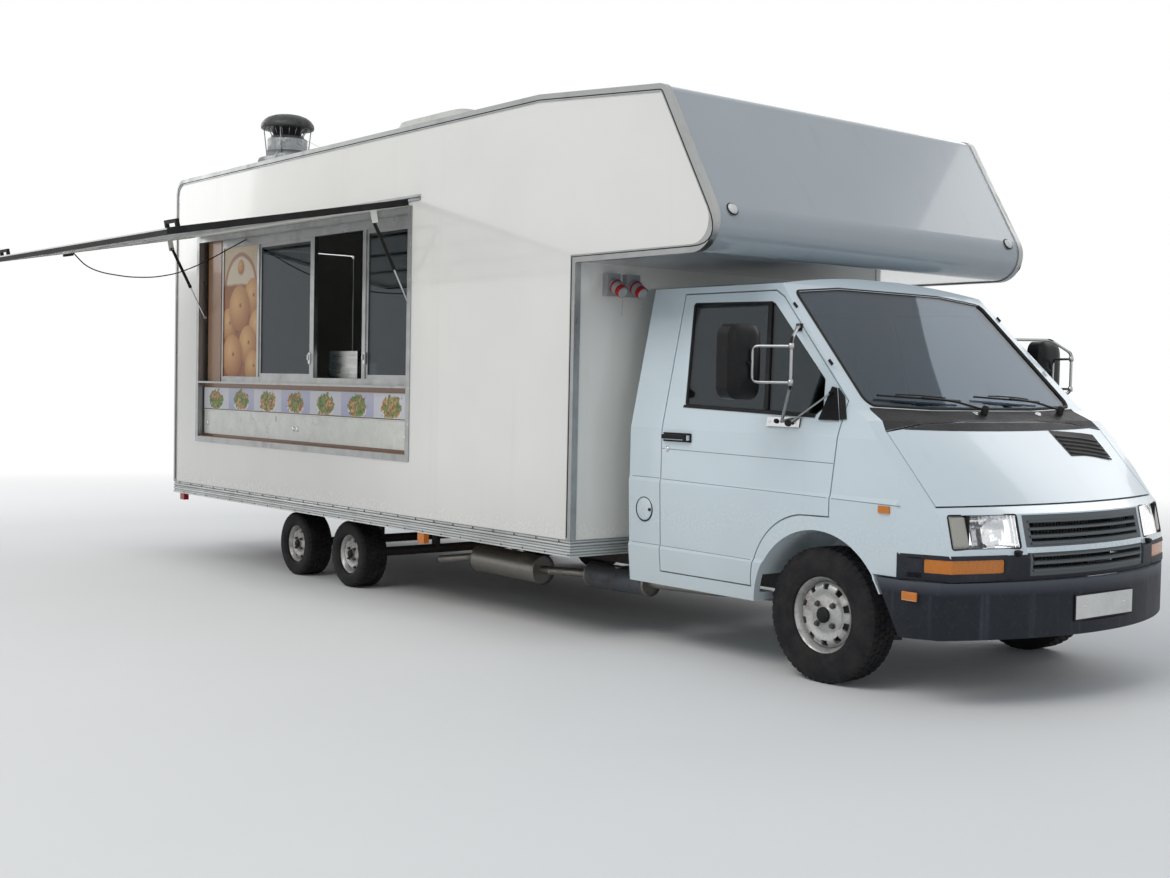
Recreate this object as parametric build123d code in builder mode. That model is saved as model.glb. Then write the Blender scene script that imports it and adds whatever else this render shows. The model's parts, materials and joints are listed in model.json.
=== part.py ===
from build123d import *
from math import cos, pi, radians, sin, tan
import os

# A food truck: a delivery-van cab with a coachbuilt kitchen body on a tandem rear axle.
# It is drawn in millimetres with x = 0 at the front axle and +X forward, y = 0 on the
# mid-plane and +Y to the driver's (left) side, and z = 0 on the ground.  The last lines
# move it so that its origin lies under the middle of its bounding box.

# Fits and gaps
SEAT = 0.3          # between pieces that seat on each other
HINGE_PIN = 8.0
HINGE_BARREL = 14.0
PANEL_GAP = 7.0     # round doors, bonnet and rear door
PIN_PLAY = 0.3      # on the radius of a pin in its eye

# Axles and wheels
REAR_AXLES = (-3904.0, -4630.0)
STEER_Y = 720.0     # kingpins from the mid-plane
# tyre radius, width, rim seat radius, wheel centre from the mid-plane, hub face from wheel centre
FRONT_WHEEL = dict(tyre=317.0, width=182.0, seat=178.0, y=794.0, dish=22.0, slots=8)
REAR_WHEEL = dict(tyre=218.0, width=190.0, seat=127.0, y=1037.0, dish=34.0, slots=0)
RIM_SHEET = 6.0
FLANGE_RISE = 16.0
RIM_SLOT = (12.0, 34.0)
HUB_BORE = 31.0

# Kitchen body
BODY_REAR = -6435.0
BODY_FRONT = -1440.0        # front wall behind the cab
BODY_HALF = 1223.0
BODY_FLOOR = 548.0          # lower edge of the walls
ROOF_REAR = 2885.0
ROOF_KINK = (-1772.0, 2913.0)
ROOF_FRONT = (-775.0, 2832.0)
OVERCAB_UNDER = 2010.0
NOSE_TIP = (-302.0, OVERCAB_UNDER + 2)      # where the slanted face and the underside would meet
REAR_CORNER_R = 120.0
FRONT_CORNER_R = 60.0
NOSE_R = 145.0
WALL = 34.0
SHEET = 30.0                # roof, overcab, front and rear wall
FLOOR_THICK = 68.0
ROOF_SPLIT = -850.0         # joint between the roof and the overcab face
SKIRT_BOTTOM = 457.0
SKIRT_THICK = 28.0
SKIRT_PROUD = 4.0
FLUTES = (20.0, 46.0, 72.0)         # grooves round the skirt, from its foot
FLUTE_WIDTH = 10.0
TRIM_WIDTH = 34.0
TRIM_PROUD = 6.0

# Serving hatch and window
OPENING_X = (-6050.0, -3020.0)      # outside of the aluminium frame
OPENING_Z = (875.0, 2426.0)
FRAME_LIP = 20.0
FRAME_PROUD = 6.0
FRAME_DEPTH = 92.0
FRAME_BAR = 22.0
COUNTER_Z = 1336.0
WINDOW_PLANE = 55.0 - BODY_HALF     # outside face of the posts and sliding sashes
POST_DEPTH = 30.0
STRIP_Z = (1130.0, 1290.0)          # picture strip
SILL_TOP = 934.0
HINGE_Y = -17.0 - BODY_HALF
HINGE_Z = 2436.0
HATCH_DROOP = 11.0                  # below level as it stands open
HATCH_EDGE = 10.0                   # from the hinge to the panel
HATCH_THICK = 34.0
HATCH_INNER = 6.0                   # inner face from the hinge, inwards when shut
HATCH_RIM = 48.0
STRUT_IN = 24.0                     # strut from the inside of the frame
STRUT_FOOT = (33.0 - BODY_HALF, 1820.0)     # y, z of the eye on the jamb
STRUT_HEAD = (-232.0 - BODY_HALF, 2320.0)   # y, z of the pin on the open hatch
STRUT_TUBE = 22.0
STRUT_ROD = 10.0
STRUT_EYE = 24.0
STRUT_PIN = 10.0
STRUT_STUD = 16.0
TUBE_EYE = 18.0                     # length of the eye along the pin
ROD_EYE = 14.0
TUBE_SHARE = 0.55                   # of the length between the pins
ROD_SHARE = 0.5
EAR_THICK = 6.0
EAR_HALF = 20.0
FLAP_THICK = 18.0
FLAP_Y = 56.0 - BODY_HALF           # back face as it hangs
FLAP_TOP = 1120.0

# Cab: x and z of its side outline on the mid-plane, and how far each point lies back at the sides
CAB_REAR = -1290.0
CAB_SECTION = (
    (CAB_REAR, 340.0, 0.0),         # rear, bottom
    (CAB_REAR, 1950.0, 0.0),        # rear, above the roof's crown
    (-424.0, 1936.0, 25.0),         # front edge of the roof
    (-356.0, 1879.0, 27.0),         # top of the windscreen
    (248.0, 1278.0, 45.0),          # foot of the windscreen
    (336.0, 1232.0, 40.0),          # rear edge of the bonnet
    (756.0, 867.0, 153.0),          # front edge of the bonnet
    (838.0, 838.0, 209.0),          # top of the lamps and grille
    (884.0, 640.0, 209.0),          # foot of the grille
    (884.0, 500.0, 209.0),
    (840.0, 340.0, 209.0),
)
CAB_HALF = 953.0
# half width and height up the cab's side
CAB_SIDE = ((930.0, 340.0), (948.0, 528.0), (941.0, 546.0), (953.0, 872.0), (947.0, 892.0),
            (945.0, 1150.0), (788.0, 1880.0))
ROOF_CROWN = 1938.0
CORNER_BACK = (480.0, 690.0)        # x where the front corner starts and ends its bend
CORNER_IN = 870.0
CAB_WALL = 40.0
DOOR_THICK = 34.0
BONNET_THICK = 24.0
GLASS = 5.0
CAB_FLOOR = 600.0
FLOOR_PAN = 30.0
FIREWALL = 300.0
ARCH_X = 20.0                       # middle of the wheel arch
ARCH_R = 402.0
LINER = 8.0
LINER_INNER = 500.0                 # inner wall of the wheel housing from the mid-plane
BUMPER_TOP = 546.0
BUMPER_BOTTOM = 300.0
BUMPER_FRONT = 930.0
BUMPER_THICK = 45.0
BUMPER_HALF = 958.0

# Chassis
RAIL_Y = 430.0
RAIL_Z = (330.0, 450.0)
RAIL_W = 60.0
RAIL_SHEET = 8.0
RAIL_X = (-6330.0, 640.0)
CAB_MOUNT_X = (-1150.0, -500.0)
CAB_MOUNT = 60.0
CROSS_X = (-6290.0, -5350.0, -4270.0, -3350.0, -2200.0, -1050.0, 500.0)
CROSS_WIDTH = 80.0
BEARER_X = (-6290.0, -5350.0, -3350.0, -2400.0, -1520.0)
BEARER_WIDTH = 60.0
BUMPER_BRACKET_Y = (400.0, 460.0)
BUMPER_BRACKET_Z = (350.0, 440.0)

# Cable of the hatch lamp, from its gland on the lamp to its gland on the window frame
CABLE_DIA = 8.0
CABLE_ROUTE = (
    (-4806, -2632, 2145), (-4822, -2590, 2108), (-4846, -2540, 2074), (-4882, -2476, 2052),
    (-4923, -2390, 2036), (-4970, -2284, 2030), (-5014, -2180, 2026), (-5062, -2077, 2032),
    (-5106, -1972, 2041), (-5150, -1870, 2060), (-5194, -1767, 2084), (-5232, -1666, 2121),
    (-5265, -1566, 2162), (-5296, -1467, 2210), (-5318, -1369, 2264), (-5339, -1271, 2317),
    (-5350, -1172, 2372),
)
GLAND_DIA = 14.0
GLAND_LEN = 12.0


def slab(x, y, z, mode=Mode.ADD):
    """A block between a pair of limits along each axis."""
    with Locations(((x[0] + x[1]) / 2, (y[0] + y[1]) / 2, (z[0] + z[1]) / 2)):
        Box(abs(x[1] - x[0]), abs(y[1] - y[0]), abs(z[1] - z[0]), mode=mode)


def rod(start, end, diameter, mode=Mode.ADD):
    """A round bar between two points."""
    run = Vector(*end) - Vector(*start)
    with BuildSketch(Plane(origin=start, z_dir=run)) as section:
        Circle(diameter / 2)
    extrude(section.sketch, amount=run.length, mode=mode)


def gland(end, before):
    """A round gland whose face meets a cord's end, from the cord's last two points."""
    along = (Vector(*end) - Vector(*before)).normalized()
    rod(end, Vector(*end) + along * GLAND_LEN, GLAND_DIA)


def hinge_half(plane, spans, leaf, bored):
    """Knuckles along z of a plane with their leaf; bored ones turn on the others' pin."""
    for start, end in spans:
        with BuildSketch(plane.offset(start)) as section:
            Circle(HINGE_BARREL / 2)
            with Locations(((leaf[0][0] + leaf[1][0]) / 2, (leaf[0][1] + leaf[1][1]) / 2)):
                Rectangle(abs(leaf[1][0] - leaf[0][0]), abs(leaf[1][1] - leaf[0][1]))
            if bored:
                Circle(HINGE_PIN / 2 + PIN_PLAY, mode=Mode.SUBTRACT)
        extrude(section.sketch, amount=end - start)
    if not bored:
        with BuildSketch(plane.offset(spans[0][0])) as pin:
            Circle(HINGE_PIN / 2)
        extrude(pin.sketch, amount=spans[-1][1] - spans[0][0])


def bent_tube(points, radius, diameter):
    """A round tube along straight runs with bends of one radius."""
    with BuildLine() as path:
        FilletPolyline(*points, radius=radius)
    with BuildSketch(Plane(origin=path.line @ 0, z_dir=path.line % 0)) as section:
        Circle(diameter / 2)
    sweep(section.sketch, path=path.line)


def mirrored(part, side):
    """The part as drawn for the left side, or its mirror image for the right."""
    return part if side > 0 else mirror(part, about=Plane.XZ)


# The kitchen body's side outline, drawn inward or outward by an offset

def body_outline(inset=0.0):
    with BuildSketch(Plane.XZ) as outline:
        with BuildLine():
            Polyline((BODY_REAR, BODY_FLOOR), (BODY_REAR, ROOF_REAR), ROOF_KINK, ROOF_FRONT, NOSE_TIP,
                     (BODY_FRONT, OVERCAB_UNDER), (BODY_FRONT, BODY_FLOOR), close=True)
        make_face()
        for corner, radius in (((BODY_REAR, ROOF_REAR), REAR_CORNER_R), (ROOF_FRONT, FRONT_CORNER_R),
                               (NOSE_TIP, NOSE_R)):
            fillet(outline.vertices().sort_by_distance((*corner, 0))[0], radius)
        if inset:
            offset(amount=-inset, kind=Kind.INTERSECTION)
    return outline.sketch_local


def body_band(*regions):
    """The shell between the side walls, one sheet thick, kept inside the given x and z limits."""
    with BuildPart() as band:
        with BuildSketch(Plane.XZ):
            add(body_outline())
            add(body_outline(SHEET), mode=Mode.SUBTRACT)
        extrude(amount=BODY_HALF - WALL, both=True)
        with BuildSketch(Plane.XZ) as keep:
            for x, z in regions:
                with Locations(((x[0] + x[1]) / 2, (z[0] + z[1]) / 2)):
                    Rectangle(x[1] - x[0], z[1] - z[0])
        extrude(amount=BODY_HALF, both=True, mode=Mode.INTERSECT)
    return band.part


def side_wall(side, cut=None):
    """One side of the body with the side of the overcab; the serving side has its opening cut."""
    with BuildPart() as wall:
        with BuildSketch(Plane.XZ.offset(-side * (BODY_HALF - WALL))):
            add(body_outline())
        extrude(amount=-side * WALL)
        if cut:
            slab(cut[0], (side * BODY_HALF * 0.9, side * BODY_HALF * 1.1), cut[1], mode=Mode.SUBTRACT)
    return wall.part


HOLE_X = (OPENING_X[0] + FRAME_LIP, OPENING_X[1] - FRAME_LIP)
HOLE_Z = (OPENING_Z[0] + FRAME_LIP, OPENING_Z[1] - FRAME_LIP)
INNER_HALF = BODY_HALF - WALL

pieces = []


def keep(part, label):
    """Name a finished piece and put it on the list that is written at the end."""
    part.label = label
    pieces.append(part)


# Walls, roof and floor of the kitchen body

box_side_right = side_wall(-1, (HOLE_X, HOLE_Z))
keep(box_side_right, "box_side_right")
box_side_left = side_wall(1)
keep(box_side_left, "box_side_left")

SPLIT_Z = ROOF_REAR - REAR_CORNER_R - 40
box_roof = body_band(((BODY_REAR - 50, ROOF_SPLIT), (SPLIT_Z, ROOF_REAR + 200)))
keep(box_roof, "box_roof")
overcab_front = body_band(((ROOF_SPLIT, 0), (OVERCAB_UNDER - 50, ROOF_REAR + 200)),
                          ((BODY_FRONT, ROOF_SPLIT), (OVERCAB_UNDER - 50, OVERCAB_UNDER + 200)))
keep(overcab_front, "overcab_front")
with BuildPart() as front_wall:
    slab((BODY_FRONT - SHEET, BODY_FRONT), (-INNER_HALF, INNER_HALF), (BODY_FLOOR, OVERCAB_UNDER + SHEET))
keep(front_wall.part, "box_front_wall")

DOOR_Y = (-350.0, 350.0)
DOOR_Z = (600.0, 2420.0)
REAR_HINGE = (BODY_REAR - 8, DOOR_Y[1] - PANEL_GAP / 2)
REAR_HINGE_Z = (900.0, 1500.0, 2130.0)
HINGE_ENDS = ((0, 25), (65, 90))
HINGE_MIDDLE = ((26, 64),)
HINGE_LEAF = 44.0
LEAF_DEPTH = (-8, -3)               # from the hinge's axis toward the wall
DOOR_CORNER = 30.0
GRIP_Y = (DOOR_Y[0] + 52, DOOR_Y[0] + 78)
GRIP_Z = (1440.0, 1560.0)
GRIP_FOOT = 20.0                    # height of each foot of the grip
GRIP_REACH = (10.0, 40.0, 52.0)     # plate, inside and outside of the grip from the door


def rear_hinge(height):
    """A plane at the foot of one of the rear door's hinges, x toward the wall and y out of it."""
    return Plane(origin=(*REAR_HINGE, height), x_dir=(0, 1, 0), z_dir=(0, 0, 1))


with BuildPart() as rear_wall:
    slab((BODY_REAR, BODY_REAR + SHEET), (-INNER_HALF, INNER_HALF), (BODY_FLOOR, SPLIT_Z))
    slab((BODY_REAR, BODY_REAR + SHEET), DOOR_Y, DOOR_Z, mode=Mode.SUBTRACT)
    for height in REAR_HINGE_Z:
        hinge_half(rear_hinge(height), HINGE_ENDS, ((0, LEAF_DEPTH[0]), (HINGE_LEAF, LEAF_DEPTH[1])),
                   bored=False)
keep(rear_wall.part, "box_rear_wall")

with BuildPart() as rear_door:
    slab((BODY_REAR, BODY_REAR + SHEET), (DOOR_Y[0] + PANEL_GAP, DOOR_Y[1] - PANEL_GAP),
         (DOOR_Z[0] + PANEL_GAP, DOOR_Z[1] - PANEL_GAP))
    fillet(rear_door.edges().filter_by(Axis.X), DOOR_CORNER)
    for height in REAR_HINGE_Z:
        hinge_half(rear_hinge(height), HINGE_MIDDLE, ((-HINGE_LEAF, LEAF_DEPTH[0]), (0, LEAF_DEPTH[1])),
                   bored=True)
    # handle plate and grip near the free edge
    plate, inside, outside = (BODY_REAR - reach for reach in GRIP_REACH)
    slab((plate, BODY_REAR), (GRIP_Y[0] - 12, GRIP_Y[1] + 12), (GRIP_Z[0] - 10, GRIP_Z[1] + 10))
    for foot in (GRIP_Z[0], GRIP_Z[1] - GRIP_FOOT):
        slab((inside, plate), GRIP_Y, (foot, foot + GRIP_FOOT))
    slab((outside, inside), GRIP_Y, GRIP_Z)
keep(rear_door.part, "rear_door")

SKIRT_HALF = BODY_HALF + SKIRT_PROUD
SKIRT_X = (BODY_REAR - SKIRT_PROUD, BODY_FRONT + SKIRT_PROUD)
with BuildPart() as skirt_rail:
    with BuildSketch(Plane.XY.offset(SKIRT_BOTTOM)):
        with Locations(((SKIRT_X[0] + SKIRT_X[1]) / 2, 0)):
            Rectangle(SKIRT_X[1] - SKIRT_X[0], 2 * SKIRT_HALF)
            Rectangle(SKIRT_X[1] - SKIRT_X[0] - 2 * SKIRT_THICK, 2 * (SKIRT_HALF - SKIRT_THICK),
                      mode=Mode.SUBTRACT)
    extrude(amount=BODY_FLOOR - SKIRT_BOTTOM)
    # the flutes that run round the extrusion
    for rise in FLUTES:
        with BuildSketch(Plane.XY.offset(SKIRT_BOTTOM + rise)):
            with Locations(((SKIRT_X[0] + SKIRT_X[1]) / 2, 0)):
                Rectangle(SKIRT_X[1] - SKIRT_X[0], 2 * SKIRT_HALF)
                Rectangle(SKIRT_X[1] - SKIRT_X[0] - 2 * SKIRT_PROUD, 2 * (SKIRT_HALF - SKIRT_PROUD),
                          mode=Mode.SUBTRACT)
        extrude(amount=FLUTE_WIDTH, mode=Mode.SUBTRACT)
keep(skirt_rail.part, "skirt_rail")

FLOOR_HALF = SKIRT_HALF - SKIRT_THICK
FLOOR_X = (SKIRT_X[0] + SKIRT_THICK, SKIRT_X[1] - SKIRT_THICK)
FLOOR_UNDER = BODY_FLOOR - FLOOR_THICK
WELL_X = (REAR_AXLES[1] - REAR_WHEEL["tyre"] - 60, REAR_AXLES[0] + REAR_WHEEL["tyre"] + 60)
WELL_Y = (REAR_WHEEL["y"] - REAR_WHEEL["width"] / 2 - 50, REAR_WHEEL["y"] + REAR_WHEEL["width"] / 2 + 40)
WELL_TOP = 600.0
WELL_SHEET = 6.0
with BuildPart() as box_floor:
    slab(FLOOR_X, (-FLOOR_HALF, FLOOR_HALF), (FLOOR_UNDER, BODY_FLOOR))
    # raised boxes over the tandem wheels
    for side in (-1, 1):
        slab((WELL_X[0] - WELL_SHEET, WELL_X[1] + WELL_SHEET),
             (side * (WELL_Y[0] - WELL_SHEET), side * (WELL_Y[1] + WELL_SHEET)),
             (BODY_FLOOR, WELL_TOP + WELL_SHEET))
        slab(WELL_X, (side * WELL_Y[0], side * WELL_Y[1]), (FLOOR_UNDER, WELL_TOP), mode=Mode.SUBTRACT)
keep(box_floor.part, "box_floor")

with BuildPart() as corner_trim:
    for side in (-1, 1):
        with BuildSketch(Plane.XZ.offset(-side * BODY_HALF)):
            add(body_outline(-TRIM_PROUD))
            add(body_outline(TRIM_WIDTH), mode=Mode.SUBTRACT)
        extrude(amount=-side * TRIM_PROUD)
        with BuildSketch(Plane.XZ.offset(-side * (BODY_HALF - TRIM_WIDTH))):
            add(body_outline(-TRIM_PROUD))
            add(body_outline(0), mode=Mode.SUBTRACT)
        extrude(amount=-side * TRIM_WIDTH)
    slab((BODY_REAR - 50, BODY_FRONT + 50), (-1.1 * BODY_HALF, 1.1 * BODY_HALF),
         (BODY_FLOOR - 50, BODY_FLOOR + SEAT), mode=Mode.SUBTRACT)
    slab((BODY_REAR + TRIM_WIDTH, BODY_FRONT - TRIM_WIDTH), (-1.1 * BODY_HALF, 1.1 * BODY_HALF),
         (BODY_FLOOR - 50, BODY_FLOOR + TRIM_WIDTH + 20), mode=Mode.SUBTRACT)
keep(corner_trim.part, "corner_trim")

# Serving window: aluminium frame, posts, sashes, glass, boards and the drip rail above

FRAME_OUT = -(BODY_HALF + FRAME_PROUD)
FRAME_IN = FRAME_OUT + FRAME_DEPTH
INSIDE_X = (HOLE_X[0] + FRAME_BAR, HOLE_X[1] - FRAME_BAR)
INSIDE_Z = (HOLE_Z[0] + FRAME_BAR, HOLE_Z[1] - FRAME_BAR)
POST_Y = (WINDOW_PLANE, WINDOW_PLANE + POST_DEPTH)
STRUT_X = (INSIDE_X[0] + STRUT_IN, INSIDE_X[1] - STRUT_IN)
# x limits of the uprights, from the rear
POSTS_X = ((-5743.0, -5713.0), (-5166.0, -5136.0), (-4365.0, -4325.0), (-3690.0, -3650.0), (-3135.0, -3105.0))
RAIL_LOW = (COUNTER_Z, COUNTER_Z + 40)
RAIL_HIGH = (2330.0, INSIDE_Z[1])
SASH_BAR = 26.0
SASH_DEPTH = 18.0
SASH_IN = 6.0                       # from the outside of the posts
GLASS_IN = 12.0
LEDGE = 14.0
DRIP_OVERHANG = (40.0, 90.0)        # past the opening, to the rear and to the front
DRIP_PLATE_Z = (2452.0, 2490.0)
DRIP_LIP_Z = (2472.0, 2478.0)
DRIP_REACH = (3.0, 20.0)            # plate and lip from the wall
# x limits of the two sliding sashes, between posts
SASHES_X = ((POSTS_X[1][1], POSTS_X[2][0]), (POSTS_X[3][1], POSTS_X[4][0]))
with BuildPart() as window_frames:
    # ring through the wall and its lip outside
    slab(OPENING_X, (FRAME_OUT, -BODY_HALF), OPENING_Z)
    slab((HOLE_X[0], HOLE_X[1]), (FRAME_OUT, FRAME_IN), HOLE_Z)
    slab(INSIDE_X, (FRAME_OUT - 1, FRAME_IN + 1), INSIDE_Z, mode=Mode.SUBTRACT)
    # counter ledge
    slab(INSIDE_X, (FRAME_OUT, FRAME_IN), (COUNTER_Z - LEDGE, COUNTER_Z))
    # head and foot rails behind the posts
    slab((POSTS_X[0][0], POSTS_X[4][1]), POST_Y, RAIL_LOW)
    slab((POSTS_X[0][0], INSIDE_X[1]), POST_Y, RAIL_HIGH)
    for x in POSTS_X:
        slab(x, POST_Y, (COUNTER_Z, RAIL_HIGH[1]))
    # sliding sashes
    for x in SASHES_X:
        with BuildSketch(Plane.XZ.offset(-(POST_Y[0] + SASH_IN))):
            with Locations(((x[0] + x[1]) / 2, (RAIL_LOW[1] + RAIL_HIGH[0]) / 2)):
                Rectangle(x[1] - x[0], RAIL_HIGH[0] - RAIL_LOW[1])
                Rectangle(x[1] - x[0] - 2 * SASH_BAR, RAIL_HIGH[0] - RAIL_LOW[1] - 2 * SASH_BAR,
                          mode=Mode.SUBTRACT)
        extrude(amount=-SASH_DEPTH)
    # studs on the jambs, each ending just short of a strut's eye
    for x, wall_x in zip(STRUT_X, INSIDE_X):
        clear = ROD_EYE / 2 + SEAT
        start = x + clear if wall_x > x else x - clear
        rod((start, *STRUT_FOOT), (wall_x, *STRUT_FOOT), STRUT_STUD)
    # drip rail over the opening
    drip_x = (OPENING_X[0] - DRIP_OVERHANG[0], OPENING_X[1] + DRIP_OVERHANG[1])
    for reach, heights in zip(DRIP_REACH, (DRIP_PLATE_Z, DRIP_LIP_Z)):
        slab(drip_x, (-BODY_HALF - reach, -BODY_HALF), heights)
    gland(CABLE_ROUTE[-1], CABLE_ROUTE[-2])
keep(window_frames.part, "window_frames")

with BuildPart() as window_glass:
    for x in SASHES_X:
        slab((x[0] + SASH_BAR, x[1] - SASH_BAR), (POST_Y[0] + GLASS_IN, POST_Y[0] + GLASS_IN + GLASS),
             (RAIL_LOW[1] + SASH_BAR, RAIL_HIGH[0] - SASH_BAR))
keep(window_glass.part, "window_glass")

BOARD = 6.0
BOARD_IN = 8.0
STRIP_X = (INSIDE_X[0] + 20, INSIDE_X[1] - 20)
FLAP_FRONT = FLAP_Y - FLAP_THICK
with BuildPart() as menu_boards:
    # poster board between the rear jamb and the first sash
    slab((POSTS_X[0][1], POSTS_X[1][0]), (POST_Y[0] + BOARD_IN, POST_Y[0] + BOARD_IN + BOARD),
         (RAIL_LOW[1], RAIL_HIGH[0]))
    # strip of pictures under the counter, leaning on the boarding behind it
    slab(STRIP_X, (FLAP_FRONT, FLAP_FRONT + BOARD), STRIP_Z)
keep(menu_boards.part, "menu_boards")

JAMB_X = -5960.0
JAMB_PROUD = 4.0
SILL_THICK = 14.0
SILL_IN = 12.0
with BuildPart() as wood_trim:
    # jamb beside the poster
    slab((JAMB_X, POSTS_X[0][0]), (WINDOW_PLANE - JAMB_PROUD, FRAME_IN), (COUNTER_Z, INSIDE_Z[1]))
    # boarding behind the strip and the flap, and the sill under them
    slab(INSIDE_X, (FLAP_Y, FRAME_IN), (SILL_TOP - SILL_THICK, COUNTER_Z - LEDGE))
    slab(INSIDE_X, (FRAME_OUT + SILL_IN, FRAME_IN), (INSIDE_Z[0], SILL_TOP - SILL_THICK))
    slab(STRIP_X, (FLAP_FRONT + BOARD, FLAP_Y), STRIP_Z)
keep(wood_trim.part, "wood_trim")

FLAP_BARREL = 10.0
FLAP_X = (INSIDE_X[0] + 26, INSIDE_X[1] - 26)
FLAP_HINGE = (FLAP_FRONT, FLAP_TOP)
CLIP_X = (INSIDE_X[0] + 1180, INSIDE_X[1] - 60)
CLIP = (24.0, 6.0, 40.0)
CLIP_TOP = FLAP_TOP - 20
with BuildPart() as counter_flap:
    slab(FLAP_X, (FLAP_FRONT, FLAP_Y - SEAT), (SILL_TOP + 6, FLAP_TOP - 4))
    # barrel of its hinge
    rod((FLAP_X[0], *FLAP_HINGE), (FLAP_X[1], *FLAP_HINGE), FLAP_BARREL)
    # clips that hold it shut
    for x in CLIP_X:
        slab((x - CLIP[0] / 2, x + CLIP[0] / 2), (FLAP_FRONT - CLIP[1], FLAP_FRONT),
             (CLIP_TOP - CLIP[2], CLIP_TOP))
keep(counter_flap.part, "counter_flap")

# Hatch: drawn on a plane through its hinge, u forward, v outward along it, w toward its inner face

droop = radians(HATCH_DROOP)
HATCH_BARREL = 12.0
HATCH_LEAF = 4.0
HATCH_PLANE = Plane(origin=(0, HINGE_Y, HINGE_Z), x_dir=(1, 0, 0), z_dir=(0, sin(droop), -cos(droop)))
HATCH_X = (OPENING_X[0] + 5, OPENING_X[1] - 5)
HATCH_LEN = HINGE_Z - OPENING_Z[0]
HANDLE_V = HATCH_LEN - 85


def on_hatch(y, z):
    """v and w on the hatch of a point given by y and z with the hatch open."""
    out, down = HINGE_Y - y, HINGE_Z - z
    return out * cos(droop) + down * sin(droop), down * cos(droop) - out * sin(droop)


HEAD_V, HEAD_W = on_hatch(*STRUT_HEAD)
LAMP_X = -4800.0
LAMP_V = HATCH_LEN - 103
LAMP_DIA = 64.0
LAMP_DEPTH = 42.0
HATCH_SKIN = 12.0                   # depth of the recess inside the rim
HATCH_OUTER = HATCH_INNER - HATCH_THICK
HANDLE_IN = 110.0                   # middle of each handle from the hatch's ends
HANDLE_HALF = 75.0
HANDLE_BAR = 18.0
HANDLE_REACH = (30.0, 44.0)         # foot and top of the bar from the panel
EAR_IN = 12.0                       # inner side of an ear from the strut's middle
with BuildPart(HATCH_PLANE) as hatch:
    slab(HATCH_X, (HATCH_EDGE, HATCH_LEN), (HATCH_OUTER, HATCH_INNER))
    slab((HATCH_X[0] + HATCH_RIM, HATCH_X[1] - HATCH_RIM), (HATCH_EDGE + HATCH_RIM, HATCH_LEN - HATCH_RIM),
         (HATCH_INNER - HATCH_SKIN, HATCH_INNER), mode=Mode.SUBTRACT)
    # two grab handles outside
    grip_v = (HANDLE_V - HANDLE_BAR / 2, HANDLE_V + HANDLE_BAR / 2)
    for u in (HATCH_X[0] + HANDLE_IN, HATCH_X[1] - HANDLE_IN):
        slab((u - HANDLE_HALF, u + HANDLE_HALF), grip_v,
             (HATCH_OUTER - HANDLE_REACH[1], HATCH_OUTER - HANDLE_REACH[1] + HANDLE_BAR))
        for end in (u - HANDLE_HALF, u + HANDLE_HALF - HANDLE_BAR):
            slab((end, end + HANDLE_BAR), grip_v, (HATCH_OUTER - HANDLE_REACH[0], HATCH_OUTER))
    # ears that carry the pins of the struts
    for x, outward in zip(STRUT_X, (-1, 1)):
        slab((x + outward * EAR_IN, x + outward * (EAR_IN + EAR_THICK)),
             (HEAD_V - EAR_HALF, HEAD_V + EAR_HALF), (HATCH_INNER - HATCH_SKIN, HEAD_W + EAR_IN))
        rod((x - outward * (EAR_IN - 1), *STRUT_HEAD),
            (x + outward * (EAR_IN + EAR_THICK), *STRUT_HEAD), STRUT_PIN)
    # working lamp inside the outer edge, let into the recess
    with Locations((LAMP_X, LAMP_V, HATCH_INNER - HATCH_SKIN + LAMP_DEPTH / 2)):
        Cylinder(LAMP_DIA / 2, LAMP_DEPTH)
    gland(CABLE_ROUTE[0], CABLE_ROUTE[1])
    # leaf and barrel of the piano hinge
    slab(HATCH_X, (0, HATCH_EDGE + 1), (-HATCH_LEAF / 2, HATCH_LEAF / 2))
    rod((HATCH_X[0], HINGE_Y, HINGE_Z), (HATCH_X[1], HINGE_Y, HINGE_Z), HATCH_BARREL)
keep(hatch.part, "hatch")


def strut_line():
    run = Vector(0, STRUT_FOOT[0] - STRUT_HEAD[0], STRUT_FOOT[1] - STRUT_HEAD[1])
    return run.length, run.normalized()


STRUT_LEN, STRUT_DIR = strut_line()
TUBE_LEN = TUBE_SHARE * STRUT_LEN
EYE_ROOT = STRUT_EYE / 2 - 2        # where a tube or rod leaves its eye
with BuildPart() as strut_tubes:
    for x in STRUT_X:
        head = Vector(x, *STRUT_HEAD)
        with BuildSketch(Plane(origin=(x - TUBE_EYE / 2, *STRUT_HEAD), z_dir=(1, 0, 0))):
            Circle(STRUT_EYE / 2)
            Circle(STRUT_PIN / 2 + PIN_PLAY, mode=Mode.SUBTRACT)
        extrude(amount=TUBE_EYE)
        rod(head + STRUT_DIR * EYE_ROOT, head + STRUT_DIR * TUBE_LEN, STRUT_TUBE)
        # bore that takes the rod
        rod(head + STRUT_DIR * STRUT_EYE, head + STRUT_DIR * (TUBE_LEN + 1), STRUT_ROD + 2 * PIN_PLAY,
            mode=Mode.SUBTRACT)
keep(strut_tubes.part, "strut_tubes")

with BuildPart() as strut_rods:
    for x in STRUT_X:
        foot = Vector(x, *STRUT_FOOT)
        with BuildSketch(Plane(origin=(x - ROD_EYE / 2, *STRUT_FOOT), z_dir=(1, 0, 0))):
            Circle(STRUT_EYE / 2)
        extrude(amount=ROD_EYE)
        rod(foot - STRUT_DIR * EYE_ROOT, foot - STRUT_DIR * (ROD_SHARE * STRUT_LEN), STRUT_ROD)
keep(strut_rods.part, "strut_rods")

# Cable of the lamp, hanging from the hatch to the head of the window frame

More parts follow.
